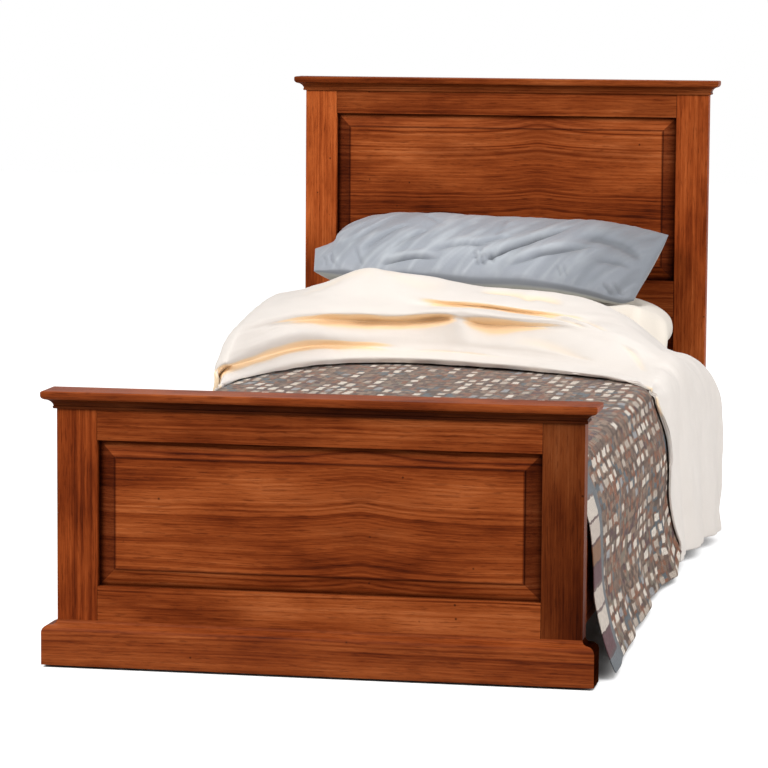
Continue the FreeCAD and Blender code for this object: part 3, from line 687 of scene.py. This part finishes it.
def outsideRail(points, gap):
    # keeps what hangs at a side clear of the rail, and leaning out from the mattress above it
    z = points[..., 2]
    face = throwSet["railFace"] + gap - throwSet["railLean"] * np.maximum(z - throwSet["railTop"], 0)
    hangs = z < mattressHigh.z - throwSet["hangFrom"]
    far = np.maximum(np.abs(points[..., 0]), face)
    points[..., 0] = np.where(hangs, np.sign(points[..., 0]) * far, points[..., 0])


def throwSection(top, fall):
    right = drapeFall(top, throwSet["rightHem"], 36, fall)
    left = drapeFall(top, throwSet["leftHem"], 24, fall)
    flatX = np.linspace(-throwSet["halfTop"], throwSet["halfTop"], 60)[1:-1]
    level = np.stack([flatX, np.full_like(flatX, top)], axis=1)
    return np.concatenate([left[::-1] * np.array([-1, 1]), level, right])


def makeThrow():
    top = mattressHigh.z + throwSet["rise"]
    section = throwSection(top, throwSet["fall"][1])
    under = throwSection(top, throwSet["fallUnder"])
    y = footFront + throwSet["front"] + np.linspace(0, throwSet["length"], 130)
    points = np.zeros((len(y), len(section), 3))
    points[..., 1] = y[:, None]
    along = (points[..., 1] - y[0]) / throwSet["length"]
    covered = ease(along, *throwSet["covered"])
    points[..., 0] = section[None, :, 0] * (1 - covered) + under[None, :, 0] * covered
    points[..., 2] = section[None, :, 1]
    drop = np.clip((top - throwSet["edgeRadius"] - points[..., 2]) / (top - throwSet["rightHem"]), 0, 1)
    side = np.sign(points[..., 0])
    broad, fine = [2 * math.pi * count for count in throwSet["folds"]]
    drift, rate = throwSet["foldDrift"]
    wave = np.sin(broad * along + drift * np.sin(rate * along) + 0.9) + 0.4 * np.sin(fine * along)
    wave *= ease(along, 0.0, 0.10) * (1 - covered)
    points[..., 0] += side * np.interp(along, *throwSet["hemSway"]) * drop ** 1.5
    points[..., 0] += side * throwSet["foldDepth"] * wave * drop ** 1.3
    points[..., 1] += throwSet["sway"] * np.sin(2 * math.pi * 5 * along) * drop
    points[..., 2] += throwSet["tuck"] * ease(along, *throwSet["shorter"]) * drop ** 2
    flatNoise = noiseAt(points.reshape(-1, 3), (9, 9, 9), 3.3).reshape(points.shape[:2])
    swell = (throwSet["swell"] * flatNoise + throwSet["swell"]) * (1 + 2.0 * drop * (1 - covered))
    points = points + gridNormals(points) * swell[:, :, None]
    outsideRail(points, 0.0)
    points[..., 2] = np.maximum(points[..., 2], throwSet["least"])
    flat = flatCoordinates(points)
    obj = gridMesh("throw_cloth", points, flat)
    thicken(obj, throwSet["thickness"])
    wear(obj, throwFinish())
    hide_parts("throw")
    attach(obj, "bedding")
    return obj


def throwFinish():
    material, tree, shader = newFinish("throw_weave")
    flat = put(tree, "ShaderNodeUVMap", uv_map="flat").outputs[0]
    axes = put(tree, "ShaderNodeSeparateXYZ", {"Vector": flat})
    stray = noiseOut(flat, 44.0, 3.0, "Color")
    strays = put(tree, "ShaderNodeSeparateColor", {"Color": stray})
    yarn = []
    for way, reach in enumerate(throwSet["stray"]):
        shift = times(minus(strays.outputs[way], 0.5), reach)
        yarn.append(plus(axes.outputs[way], shift))
    across, along = yarn
    rowPlace = math1("DIVIDE", across, throwSet["rowWidth"])
    row = math1("FLOOR", rowPlace)
    rowShift = put(tree, "ShaderNodeTexWhiteNoise", {"W": row}, noise_dimensions="1D").outputs["Value"]
    cellPlace = math1("DIVIDE", along, throwSet["dashLength"])
    cellPlace = plus(cellPlace, times(rowShift, 3.0))
    cell = math1("FLOOR", cellPlace)

    def chance(seed, column, line=row):
        vector = put(tree, "ShaderNodeCombineXYZ", {"X": line, "Y": column, "Z": seed}).outputs[0]
        drawn = put(tree, "ShaderNodeTexWhiteNoise", {"Vector": vector}, noise_dimensions="3D")
        return drawn.outputs["Value"]

    def between(value, low, high, soft):
        start = step(value, low, low + soft)
        return times(start, oneMinus(step(value, high - soft, high)))

    def threadWave(way, scale):
        inputs = {"Vector": flat, "Scale": scale, "Distortion": 2.5, "Detail": 2.0, "Detail Scale": 3.0}
        node = put(tree, "ShaderNodeTexWave", inputs, wave_type="BANDS", bands_direction=way)
        return node.outputs["Fac"]

    broken = math1("FLOOR", times(cellPlace, 2.7))  # ground yarns change more often
    strand = math1("FLOOR", times(rowPlace, 2.0))
    zone = noiseOut(flat, 7.0, 2.0)
    pick = times(chance(1.0, broken, strand), 0.62)
    pick = plus(pick, times(step(zone, 0.35, 0.65), 0.38))
    ground = ramp(pick, throwSet["ground"], "CONSTANT")
    dash = ramp(chance(2.0, cell), throwSet["dash"], "CONSTANT")
    inRow = math1("FRACT", rowPlace)
    inCell = math1("FRACT", cellPlace)
    reach = plus(0.42, times(chance(6.0, cell), 0.40))  # each dash its own length
    tail = math1("LESS_THAN", inCell, reach)
    shown = between(inRow, 0.14, 0.82, 0.10)
    shown = times(shown, times(tail, step(inCell, 0.04, 0.09)))
    runs = chance(3.0, math1("FLOOR", math1("DIVIDE", cell, 4.0)))
    shown = times(shown, math1("GREATER_THAN", runs, 0.30))
    shown = times(shown, math1("GREATER_THAN", chance(4.0, cell), 0.24))
    furrow = oneMinus(between(inRow, 0.02, 0.98, 0.16))
    ground = blendColor("MULTIPLY", times(furrow, 0.35), ground, throwSet["furrow"])
    color = blendColor("MIX", times(shown, 0.92), ground, dash)
    blockPlace = math1("DIVIDE", across, throwSet["blockWidth"])
    block = math1("FRACT", times(math1("FLOOR", blockPlace), 0.618))
    border = ramp(block, throwSet["border"], "CONSTANT")
    gap = math1("LESS_THAN", math1("FRACT", blockPlace), 0.14)
    border = blendColor("MIX", times(gap, 0.85), border, throwSet["borderGap"])
    plain = math1("GREATER_THAN", along, throwSet["borderWidth"] * 0.72)
    border = blendColor("MIX", plain, border, throwSet["borderPlain"])
    color = blendColor("MIX", math1("LESS_THAN", along, throwSet["borderWidth"]), color, border)
    warp = threadWave("X", 90.0)
    threads = times(warp, threadWave("Y", 60.0))
    fuzz = noiseOut(flat, 160.0, 3.0)
    shade = plus(times(threads, 0.45), times(fuzz, 0.9))
    light = put(tree, "ShaderNodeMapRange", {
        "Value": shade, "From Min": 0.2, "From Max": 0.9, "To Min": 0.50, "To Max": 1.40}).outputs["Result"]
    gray = put(tree, "ShaderNodeCombineColor", {0: light, 1: light, 2: light}).outputs[0]
    color = blendColor("MULTIPLY", 1.0, color, gray)
    feed(shader, {"Base Color": color, "Roughness": 0.9})
    feed(shader, {"Sheen Weight": 0.15, "Specular IOR Level": 0.15})
    emboss(shader, 0.6, 0.0012, plus(threads, times(shown, 0.8)))
    return material


throw = makeThrow()
print("throw made")

# folds: how closed in each point of a cloth is, and creases pressed into it


def hollowShare(obj, reach, count):
    # from 0 in the open to 1 in a deep fold, by short rays over the outer side
    body = rayBody(obj)
    number = np.arange(count) + 0.5
    lift, turn = 1 - 2 * number / count, number * math.pi * (1 + math.sqrt(5))
    flatWay = np.sqrt(1 - lift ** 2)
    ways = [Vector(way) for way in np.stack([flatWay * np.cos(turn), flatWay * np.sin(turn), lift], axis=1)]
    shares = np.zeros(len(obj.data.vertices))
    for vertex in obj.data.vertices:
        start = vertex.co + vertex.normal * 0.003
        closed, total = 0.0, 0.0
        for way in ways:
            weight = vertex.normal.dot(way)
            if weight > 0.12:
                total += weight
                if body.ray_cast(start, way, reach)[0] is not None:
                    closed += weight
        shares[vertex.index] = closed / max(total, 1e-6)
    return shares


def crease(spots, start, end, bend, width, depth):
    # how far a crease from start to end pushes each spot in or out, with a ridge along its upper side
    run = end - start
    length = np.linalg.norm(run)
    side = np.array([-run[1], run[0]]) / length
    t = (spots - start) @ run / length ** 2
    off = (spots - start) @ side - bend * length * 4 * t * (1 - t)
    taper = np.clip(1 - np.abs(2 * t - 1) ** 3, 0, 1)
    groove = np.exp(-(off / width) ** 2)
    ridge = 0.38 * np.exp(-((off - 2.6 * width) / (2.2 * width)) ** 2)
    return depth * taper * (ridge - groove)


def creases(spots, strokes, scale):
    push = np.zeros(len(spots))
    for start, end, bend, *sizes in strokes:
        width, depth = np.array(sizes) / 1000
        push += crease(spots, np.array(start) * scale, np.array(end) * scale, bend, width, depth)
    return push


# cream blanket: lines of its folds, from the front edge to the rear, at places across the bed

blanketSet = {
    "thickness": 0.0045,
    "places": (-0.41, -0.33, -0.24, -0.14, -0.05, -0.015, 0.02, 0.12, 0.24, 0.34, 0.41),
    "lines": (  # distance from the footboard's front, then height over the mattress, in mm
        ((1060, 1302, 1440, 1474, 1465, 1452, 1441, 1407, 1336, 1264, 1205),
         (-4, 7, 7, 7, 7, 7, 7, 7, 7, 7, -4)),
        ((1055, 1294, 1432, 1466, 1457, 1444, 1434, 1401, 1331, 1260, 1202),
         (4, 19, 20, 20, 20, 20, 19, 18, 16, 13, 1)),
        ((1095, 1339, 1461, 1489, 1480, 1468, 1458, 1426, 1362, 1300, 1245),
         (15, 36, 34, 31, 30, 30, 29, 27, 22, 16, 6)),
        ((1150, 1384, 1479, 1496, 1488, 1476, 1466, 1436, 1375, 1316, 1262),
         (28, 42, 39, 36, 35, 35, 34, 31, 26, 19, 13)),
        ((1105, 1343, 1463, 1499, 1493, 1481, 1471, 1442, 1383, 1327, 1273),
         (36, 60, 50, 44, 43, 43, 42, 40, 34, 24, 16)),
        ((1115, 1348, 1466, 1503, 1498, 1484, 1475, 1448, 1392, 1340, 1288),
         (52, 77, 64, 60, 60, 60, 56, 54, 45, 32, 20)),
        ((1170, 1400, 1490, 1514, 1511, 1490, 1494, 1472, 1425, 1378, 1337),
         (80, 88, 78, 73, 84, 86, 76, 78, 74, 54, 29)),
        ((1205, 1427, 1524, 1540, 1532, 1496, 1516, 1484, 1436, 1392, 1352),
         (90, 95, 87, 86, 96, 98, 89, 89, 86, 65, 35)),
        ((1235, 1408, 1481, 1505, 1499, 1493, 1484, 1466, 1442, 1402, 1364),
         (98, 104, 103, 101, 109, 108, 106, 100, 95, 72, 40)),
        ((1275, 1424, 1492, 1513, 1509, 1501, 1493, 1473, 1452, 1420, 1384),
         (104, 116, 118, 114, 119, 118, 117, 110, 102, 79, 44)),
        ((1420, 1510, 1542, 1541, 1548, 1548, 1547, 1540, 1495, 1466, 1430),
         (120, 136, 142, 127, 122, 121, 119, 109, 102, 87, 49)),
        ((1510, 1560, 1578, 1564, 1538, 1536, 1533, 1529, 1518, 1492, 1460),
         (128, 146, 170, 151, 135, 134, 132, 121, 113, 90, 38)),
        ((1610, 1610, 1610, 1610, 1610, 1610, 1610, 1605, 1595, 1565, 1540),
         (134, 153, 189, 177, 165, 160, 155, 147, 134, 93, 32)),
        ((1670, 1665, 1660, 1660, 1660, 1660, 1660, 1655, 1640, 1605, 1620),
         (130, 146, 172, 163, 154, 150, 146, 139, 124, 80, 27)),
        ((1710, 1700, 1692, 1692, 1692, 1692, 1692, 1686, 1665, 1625, 1690),
         (121, 134, 146, 141, 137, 134, 132, 127, 110, 56, 22)),
    ),
    "strokes": (  # place across and number of the line, twice, then bend, then width and depth in mm
        ((0.01, 11.62), (0.13, 11.50), 0.05, 3.5, 7.5),
        ((0.10, 11.56), (0.19, 11.44), 0.05, 3.5, 7.5),
        ((0.150, 10.2), (0.250, 7.8), 0.04, 7, 6),
        ((0.20, 10.4), (0.30, 8.4), 0.05, 7, 5.5),
        ((0.33, 6.6), (0.39, 4.8), 0.08, 8, 4),
        ((-0.22, 12.2), (-0.05, 11.8), -0.06, 10, 2.2),
        ((-0.36, 10.6), (-0.20, 11.4), 0.08, 12, 2.6),
        ((0.10, 5.2), (0.28, 4.2), 0.06, 10, 3),
        ((-0.12, 2.4), (0.10, 2.0), 0.05, 8, 2.5),
    ),
    "lineGap": 0.025,  # metres along the cloth from one line to the next, about
    "leftHem": (0.120, 0.120),  # at the front and at the rear, as the next ones
    "rightHem": (0.020, 0.022),
    "rightRoll": (0.020, 0.098),
    "leftRoll": (0.020, 0.060),
    "rightReach": (0.468, 0.520),
    "leftReach": (0.452, 0.486),
    "rightHemRun": (1.17, 1.64),  # where the right hem starts and ends
    "leftHemRun": (1.06, 1.70),
    "wrinkle": 0.0026,
    "waves": (0.17, 0.083),  # metres from one soft fold of the drop to the next
    "waveDepth": 0.009,
    "gap": 0.0085,  # from the throw and the rail to the middle of the cloth
    "cling": 0.07,  # metres behind the front edge over which the cloth lifts off the throw
    "clingDrop": 0.030,
    "ray": (0.8, 0.39, 0.058),  # start beside the bed, reach, least height
    "cotton": ((0.79, 0.735, 0.685), (0.84, 0.79, 0.745), 0.0012, 0.0004, 0.85, 0.1),
    # painted shade: warm bounce light inside the folds
    "tints": {"paintedShade": (1.0, 0.79, 0.545)},
}


def blanketSide(edge, side, name, steps):
    # carries each row of the top on over the roll and down to the hem
    share = np.concatenate([[0], np.cumsum(np.abs(np.diff(edge[:, 1])) + 0.001)])
    share /= share[-1]
    reach, run, hem, radius = [np.interp(share, (0, 1), blanketSet[name + part])
                               for part in ("Reach", "HemRun", "Hem", "Roll")]
    hemPoint = np.stack([side * reach, footFront + run, hem], axis=1)
    turn = np.linspace(0, math.pi / 2, 14)[1:]
    bend = np.repeat(edge[:, None, :], len(turn), axis=1)
    bend[..., 0] += side * radius[:, None] * np.sin(turn)[None]
    bend[..., 2] -= 1.35 * radius[:, None] * (1 - np.cos(turn))[None]
    fall = np.linspace(0, 1, steps)[1:][None, :, None]
    last = bend[:, -1:, :]
    hang = last + (hemPoint[:, None, :] - last) * fall
    return np.concatenate([bend, hang], axis=1)


def blanketPoints():
    lines = np.array(blanketSet["lines"]) / 1000
    across = np.linspace(blanketSet["places"][0], blanketSet["places"][-1], 110)
    y = np.array([hermite(blanketSet["places"], line[0], across) for line in lines])
    z = np.array([hermite(blanketSet["places"], line[1], across) for line in lines])
    rows = np.linspace(0, len(lines) - 1, 155)
    numbers = np.arange(len(lines))
    points = np.zeros((len(rows), len(across), 3))
    points[..., 0] = across[None]
    points[..., 1] = footFront + hermite(numbers, y, rows)
    least = 0.007 - 0.011 * ease(np.abs(across), 0.385, 0.410)[None]  # the throw's edge falls away there
    points[..., 2] = mattressHigh.z + np.maximum(hermite(numbers, z, rows), least)
    gap = blanketSet["lineGap"]
    spots = np.stack(np.broadcast_arrays(across[None, :], rows[:, None] * gap), axis=-1).reshape(-1, 2)
    push = creases(spots, blanketSet["strokes"], np.array((1, gap))).reshape(points.shape[:2])
    points = points + gridNormals(points) * push[:, :, None]
    right = blanketSide(points[:, -1], 1, "right", 34)
    left = blanketSide(points[:, 0], -1, "left", 30)
    groove = np.pad(np.clip(-push / 0.0060, 0, 1), ((0, 0), (left.shape[1], right.shape[1])))
    return np.concatenate([left[:, ::-1], points, right], axis=1), groove


def restOnThrow(points, gap):
    # lays the front edge against the throw and keeps the sides outside it
    body = rayBody(throw)
    rim = blanketSet["places"][-1] + 0.002
    behind = ease(points[..., 1] - points[:1, :, 1], 0.0, blanketSet["cling"])
    drop = blanketSet["clingDrop"]
    start, reach, least = blanketSet["ray"]
    lower = ease(mattressHigh.z + drop - points[..., 2], 0.0, drop)
    for place in np.argwhere((np.abs(points[..., 0]) > rim) & (lower > 0)):
        x, y, z = points[tuple(place)]
        way = -np.sign(x)
        hit = body.ray_cast(Vector((-start * way, y, max(z, least))), Vector((way, 0, 0)), reach)[0]
        near = rim if hit is None else max(abs(hit.x) + gap, rim)
        target = near + max(abs(x) - near, 0) * behind[tuple(place)]
        points[place[0], place[1], 0] = -way * (abs(x) + (target - abs(x)) * lower[tuple(place)])


def makeBlanket():
    points, groove = blanketPoints()
    low = np.clip((mattressHigh.z - 0.02 - points[..., 2]) / mattressHigh.z, 0, 1)
    run = points[..., 1] - footFront
    broad, fine = blanketSet["waves"]
    wave = np.sin(2 * math.pi * run / broad + 0.8) + 0.35 * np.sin(2 * math.pi * run / fine)
    points[..., 0] += np.sign(points[..., 0]) * blanketSet["waveDepth"] * wave * low ** 1.3
    shape = points.shape[:2]
    body = points.reshape(-1, 3)
    crumple = noiseAt(body, (7, 22, 12), 1.3) + 0.6 * noiseAt(body, (22, 40, 30), 8.1)
    crumple += 0.25 * noiseAt(body, (48, 70, 55), 5.4)
    points = points + gridNormals(points) * (blanketSet["wrinkle"] * crumple.reshape(shape))[:, :, None]
    restOnThrow(points, blanketSet["gap"])
    outsideRail(points, blanketSet["gap"])
    flat = flatCoordinates(points)
    obj = gridMesh("blanket_cloth", points, flat)
    closed = hollowShare(obj, 0.10, 48).reshape(shape)
    closed[1:-1, 1:-1] = (closed[1:-1, 1:-1] * 2 + closed[:-2, 1:-1] + closed[2:, 1:-1]
                          + closed[1:-1, :-2] + closed[1:-1, 2:]) / 6
    # painted shade: a warm tint where the cloth is closed in and in the pressed grooves
    paint(obj, "paintedShade", np.maximum(ease(closed, 0.16, 0.48), 0.75 * groove ** 1.3).ravel())
    thicken(obj, blanketSet["thickness"])
    wear(obj, cottonFinish("blanket_cotton", *blanketSet["cotton"], blanketSet["tints"]))
    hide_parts("blanket")
    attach(obj, "bedding")
    return obj


# pillows: two faces that meet in a seam


def caseGrid(columns, rows):
    u, v = np.meshgrid(np.linspace(-1, 1, columns), np.linspace(-1, 1, rows))
    return 0.55 * u + 0.45 * np.sin(u * math.pi / 2), 0.55 * v + 0.45 * np.sin(v * math.pi / 2)


def sewnMesh(name, front, back):
    # one closed mesh from two grids that share their rim; also says which points belong to the back alone
    rows, columns = front.shape[:2]
    upper = np.arange(rows * columns).reshape(rows, columns)
    inner = np.zeros((rows, columns), bool)
    inner[1:-1, 1:-1] = True
    lower = upper.copy()
    lower[inner] = rows * columns + np.arange(inner.sum())
    points = np.concatenate([front.reshape(-1, 3), back[inner]])
    under = gridFaces(lower)[:, [0, 3, 2, 1]]
    obj = newObject(name, points.tolist(), np.concatenate([gridFaces(upper), under]).tolist())
    soften(obj)
    return obj, np.concatenate([np.zeros(rows * columns), np.ones(inner.sum())])


upperSet = {
    "top": (  # the upper seam from left to right: across, distance from the footboard's front, height, in mm
        (-388, 1830, 566), (-345, 1880, 573), (-314, 1920, 610), (-245, 1940, 625),
        (-159, 1940, 629), (-69, 1940, 626), (21, 1940, 622), (106, 1940, 622),
        (200, 1940, 622), (257, 1940, 618), (318, 1930, 611), (367, 1900, 606)),
    "bottom": (  # the lower seam
        (-374, 1750, 524), (-296, 1725, 522), (-180, 1715, 519), (-96, 1712, 516),
        (-26, 1712, 511), (72, 1712, 510), (163, 1715, 501), (224, 1720, 489),
        (258, 1725, 480), (290, 1735, 473), (312, 1750, 477)),
    "front": 0.048, "back": 0.066,  # how far each face stands out from the seam
    "fullness": (3.0, 2.2),
    "scale": (0.38, 0.135),  # metres to one unit of the case, along it and up it
    "strokes": (  # start, end on the case from -1 to 1, bend, then width and depth in mm
        ((-0.56, -0.90), (-0.20, -0.74), 0.05, 4, 9.5),
        ((-0.24, -0.60), (0.08, -0.38), 0.10, 6, 5.7),
        ((-0.03, -0.45), (0.22, -0.12), 0.06, 5.5, 4.3),
        ((0.01, -0.82), (0.50, 0.42), -0.05, 7, 8.9),
        ((0.07, -0.70), (0.40, 0.12), -0.06, 5, 5.7),
        ((0.20, -0.82), (0.58, -0.12), -0.05, 6.5, 7),
        ((0.30, -0.62), (0.66, -0.05), -0.04, 5.5, 4.6),
        ((0.13, 0.70), (0.11, -0.15), 0.04, 5.5, 2.7),
        ((-0.01, -0.55), (0.04, -0.84), 0.08, 3.8, 4.9),
        ((0.04, -0.48), (0.08, -0.82), -0.06, 4, 5.7),
        ((0.09, -0.54), (0.13, -0.80), 0.06, 3.6, 4.1),
        ((-0.02, -0.70), (0.14, -0.62), 0.05, 3.8, 4.1),
        ((-0.94, -0.30), (-0.91, -0.90), 0.05, 3.6, 2.6),
        ((-0.87, -0.26), (-0.84, -0.93), -0.04, 4, 3.4),
        ((-0.69, -0.42), (-0.66, -0.92), -0.05, 4, 3.2),
        ((-0.66, -0.62), (-0.38, 0.10), 0.05, 6, 4.9),
        ((-0.48, -0.60), (-0.26, -0.05), 0.06, 5.5, 3.5),
        ((-0.34, 0.55), (-0.20, 0.10), 0.05, 6, 2.4),
        ((0.49, -0.72), (0.53, -0.90), 0.05, 3.6, 3.8),
        ((0.52, -0.66), (0.57, -0.88), -0.05, 3.8, 4.1),
        ((0.76, -0.84), (0.85, -0.95), 0.05, 4, 4.1),
        ((0.82, -0.72), (0.91, -0.92), -0.05, 4.2, 4.3),
        ((0.55, 0.10), (0.95, -0.02), 0.10, 16, 6.8),
        ((0.68, -0.45), (0.90, -0.30), 0.08, 9, 4.1),
    ),
    "satin": ((0.29, 0.32, 0.365), (0.375, 0.40, 0.45), 0.0010, 0.0002, 0.42, 0.2),
    # painted highlight on the crests, painted shade in the creases, and a painted shade colour on the back
    "tints": {"crestHighlight": (0.56, 0.60, 0.64), "paintedShade": (0.11, 0.12, 0.135), "under": (0.38, 0.39, 0.37)},
    "shadeSide": (0.30, 0.95),  # where the case turns into the shade
}


def seamLine(line, count):
    line = np.array(line) / 1000
    length = np.concatenate([[0], np.cumsum(np.linalg.norm(np.diff(line, axis=0), axis=1))])
    return hermite(length / length[-1], line, count)


def makeUpperPillow():
    u, v = caseGrid(220, 110)
    share = (u[0] + 1) / 2
    up = ((v + 1) / 2)[:, :, None]
    under, over = [seamLine(upperSet[seam], share)[None] for seam in ("bottom", "top")]
    middle = under * (1 - up) + over * up
    middle[..., 1] += footFront
    outward = np.cross(np.gradient(middle, axis=1), np.gradient(middle, axis=0))
    outward /= np.linalg.norm(outward, axis=2, keepdims=True)
    crown = np.sqrt((1 - np.abs(u) ** upperSet["fullness"][0]) * (1 - np.abs(v) ** upperSet["fullness"][1]))
    scale = np.array(upperSet["scale"])
    spots = np.stack([u, v], axis=-1).reshape(-1, 2) * scale
    pressed = creases(spots, upperSet["strokes"], scale).reshape(u.shape)
    cloth = middle.reshape(-1, 3)
    puff = 0.0042 * noiseAt(cloth, (7, 10, 10), 4.0) + 0.0010 * noiseAt(cloth, (26, 34, 30), 7.0)
    x, z = cloth[:, 0], cloth[:, 2]
    slanted = np.stack([0.85 * x + 0.5 * z, 0 * x, 0.85 * z - 0.5 * x], axis=1)  # the way the case pulls
    drawn = noiseAt(slanted, (7, 1, 44), 2.6) + 0.45 * noiseAt(slanted, (15, 1, 95), 6.2)
    tight = 0.5 - np.abs(noiseAt(slanted, (10, 1, 60), 9.7))
    tight -= 0.5 * np.abs(noiseAt(slanted, (26, 1, 120), 3.9))
    puff += 0.0034 * drawn + 0.0026 * tight
    drawn, tight = drawn.reshape(u.shape), tight.reshape(u.shape)
    rim = np.clip((1 - np.abs(u)) / 0.05, 0, 1) * np.clip((1 - np.abs(v)) / 0.06, 0, 1)
    bulge = puff.reshape(u.shape) * rim
    front = middle + outward * (upperSet["front"] * crown + pressed * rim + bulge)[:, :, None]
    back = middle - outward * (upperSet["back"] * crown - 0.5 * bulge)[:, :, None]
    obj, behind = sewnMesh("upper_pillow_case", front, back)
    shade = ease(u, *upperSet["shadeSide"])
    # painted shade in the pressed creases, on the low side of the drawn wrinkles and towards the end that
    # turns into the shade; also darker along the lower seam
    dark = np.clip(-pressed * rim / 0.0080, 0, 1) ** 1.4 + 0.6 * np.clip((-0.965 - v) / 0.02, 0, 1)
    dark = dark + 0.64 * shade + 0.45 * np.clip(-drawn, 0, 1) * rim
    # painted highlight on the raised side of the creases and on the tight wrinkles
    crestHighlight = 0.7 * np.clip(pressed / 0.0040, 0, 1) + 0.8 * np.clip(tight - 0.12, 0, 1) / 0.38
    crestHighlight = np.clip(crestHighlight, 0, 1) * rim * (1 - 0.6 * shade)
    plain = np.zeros(len(behind) - u.size)  # the back takes neither
    paint(obj, "paintedShade", np.concatenate([np.clip(dark, 0, 1).ravel() * 0.75, plain]))
    paint(obj, "crestHighlight", np.concatenate([crestHighlight.ravel() * 0.6, plain]))
    # painted shade colour: the back of the case, paler and greener
    paint(obj, "under", behind)
    wear(obj, cottonFinish("upper_pillow_satin", *upperSet["satin"], upperSet["tints"]))
    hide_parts("upper_pillow")
    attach(obj, "pillow")
    return obj


lowerSet = {
    "size": (0.784, 0.430, 0.130),
    "seam": 0.46,  # share of the height that lies under the seam
    "fullness": (5.0, 0.46),
    "corner": 0.10,
    "clearance": 0.008,
    "cotton": ((0.79, 0.72, 0.63), (0.85, 0.79, 0.71), 0.0012, 0.0004, 0.85, 0.2),
}


def pressUnder(points, covers, floor):
    # lets the top of a pillow down where another piece lies on it
    bodies = [rayBody(cover) for cover in covers]
    dent = np.zeros(points.shape[:2])
    for place in np.ndindex(dent.shape):
        point = points[place]
        for body in bodies:
            hit = body.ray_cast(Vector((point[0], point[1], floor)), Vector((0, 0, 1)), 0.4)[0]
            if hit is not None:
                dent[place] = max(dent[place], point[2] - max(hit.z - lowerSet["clearance"], floor + 0.006))
    for spread in (np.maximum, np.maximum, np.maximum, np.add, np.add, np.add):  # wide first, then soft
        padded = np.pad(dent, 1, mode="edge")
        near = [padded[i:i + dent.shape[0], j:j + dent.shape[1]] for i in range(3) for j in range(3)]
        dent = spread.reduce(near) / (9 if spread is np.add else 1)
    points[..., 2] -= dent


def makeLowerPillow(covers):
    u, v = caseGrid(110, 70)
    size = lowerSet["size"]
    under = size[2] * lowerSet["seam"]
    x = size[0] / 2 * u * (1 - lowerSet["corner"] * np.abs(v) ** 3)
    y = size[1] / 2 * v * (1 - lowerSet["corner"] * np.abs(u) ** 4)
    power, root = lowerSet["fullness"]
    crown = ((1 - np.abs(u) ** power) * (1 - np.abs(v) ** power)) ** root
    low, high = [np.array(corner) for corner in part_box("lower_pillow")]
    seat = np.stack([x, y + (low[1] + high[1]) / 2, np.full_like(x, low[2] + under)], axis=-1)
    cloth = seat.reshape(-1, 3)
    puff = (noiseAt(cloth, (7, 9, 9), 5.0) + 0.4 * noiseAt(cloth, (21, 25, 20), 2.0)).reshape(u.shape)
    front, back = seat.copy(), seat.copy()
    front[..., 2] += (size[2] - under + 0.005 * puff) * crown
    back[..., 2] -= under * crown
    pressUnder(front, covers, mattressHigh.z + 0.004)
    front[..., 2] = np.maximum(front[..., 2], mattressHigh.z + 0.006)
    back[..., 2] = np.minimum(back[..., 2], front[..., 2])
    obj = sewnMesh("lower_pillow_case", front, back)[0]
    wear(obj, cottonFinish("lower_pillow_cotton", *lowerSet["cotton"]))
    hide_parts("lower_pillow")
    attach(obj, "bedding")
    return obj


blanket = makeBlanket()
print("blanket made")
upperPillow = makeUpperPillow()
print("upper pillow made")
makeLowerPillow([blanket, upperPillow])
print("lower pillow made")
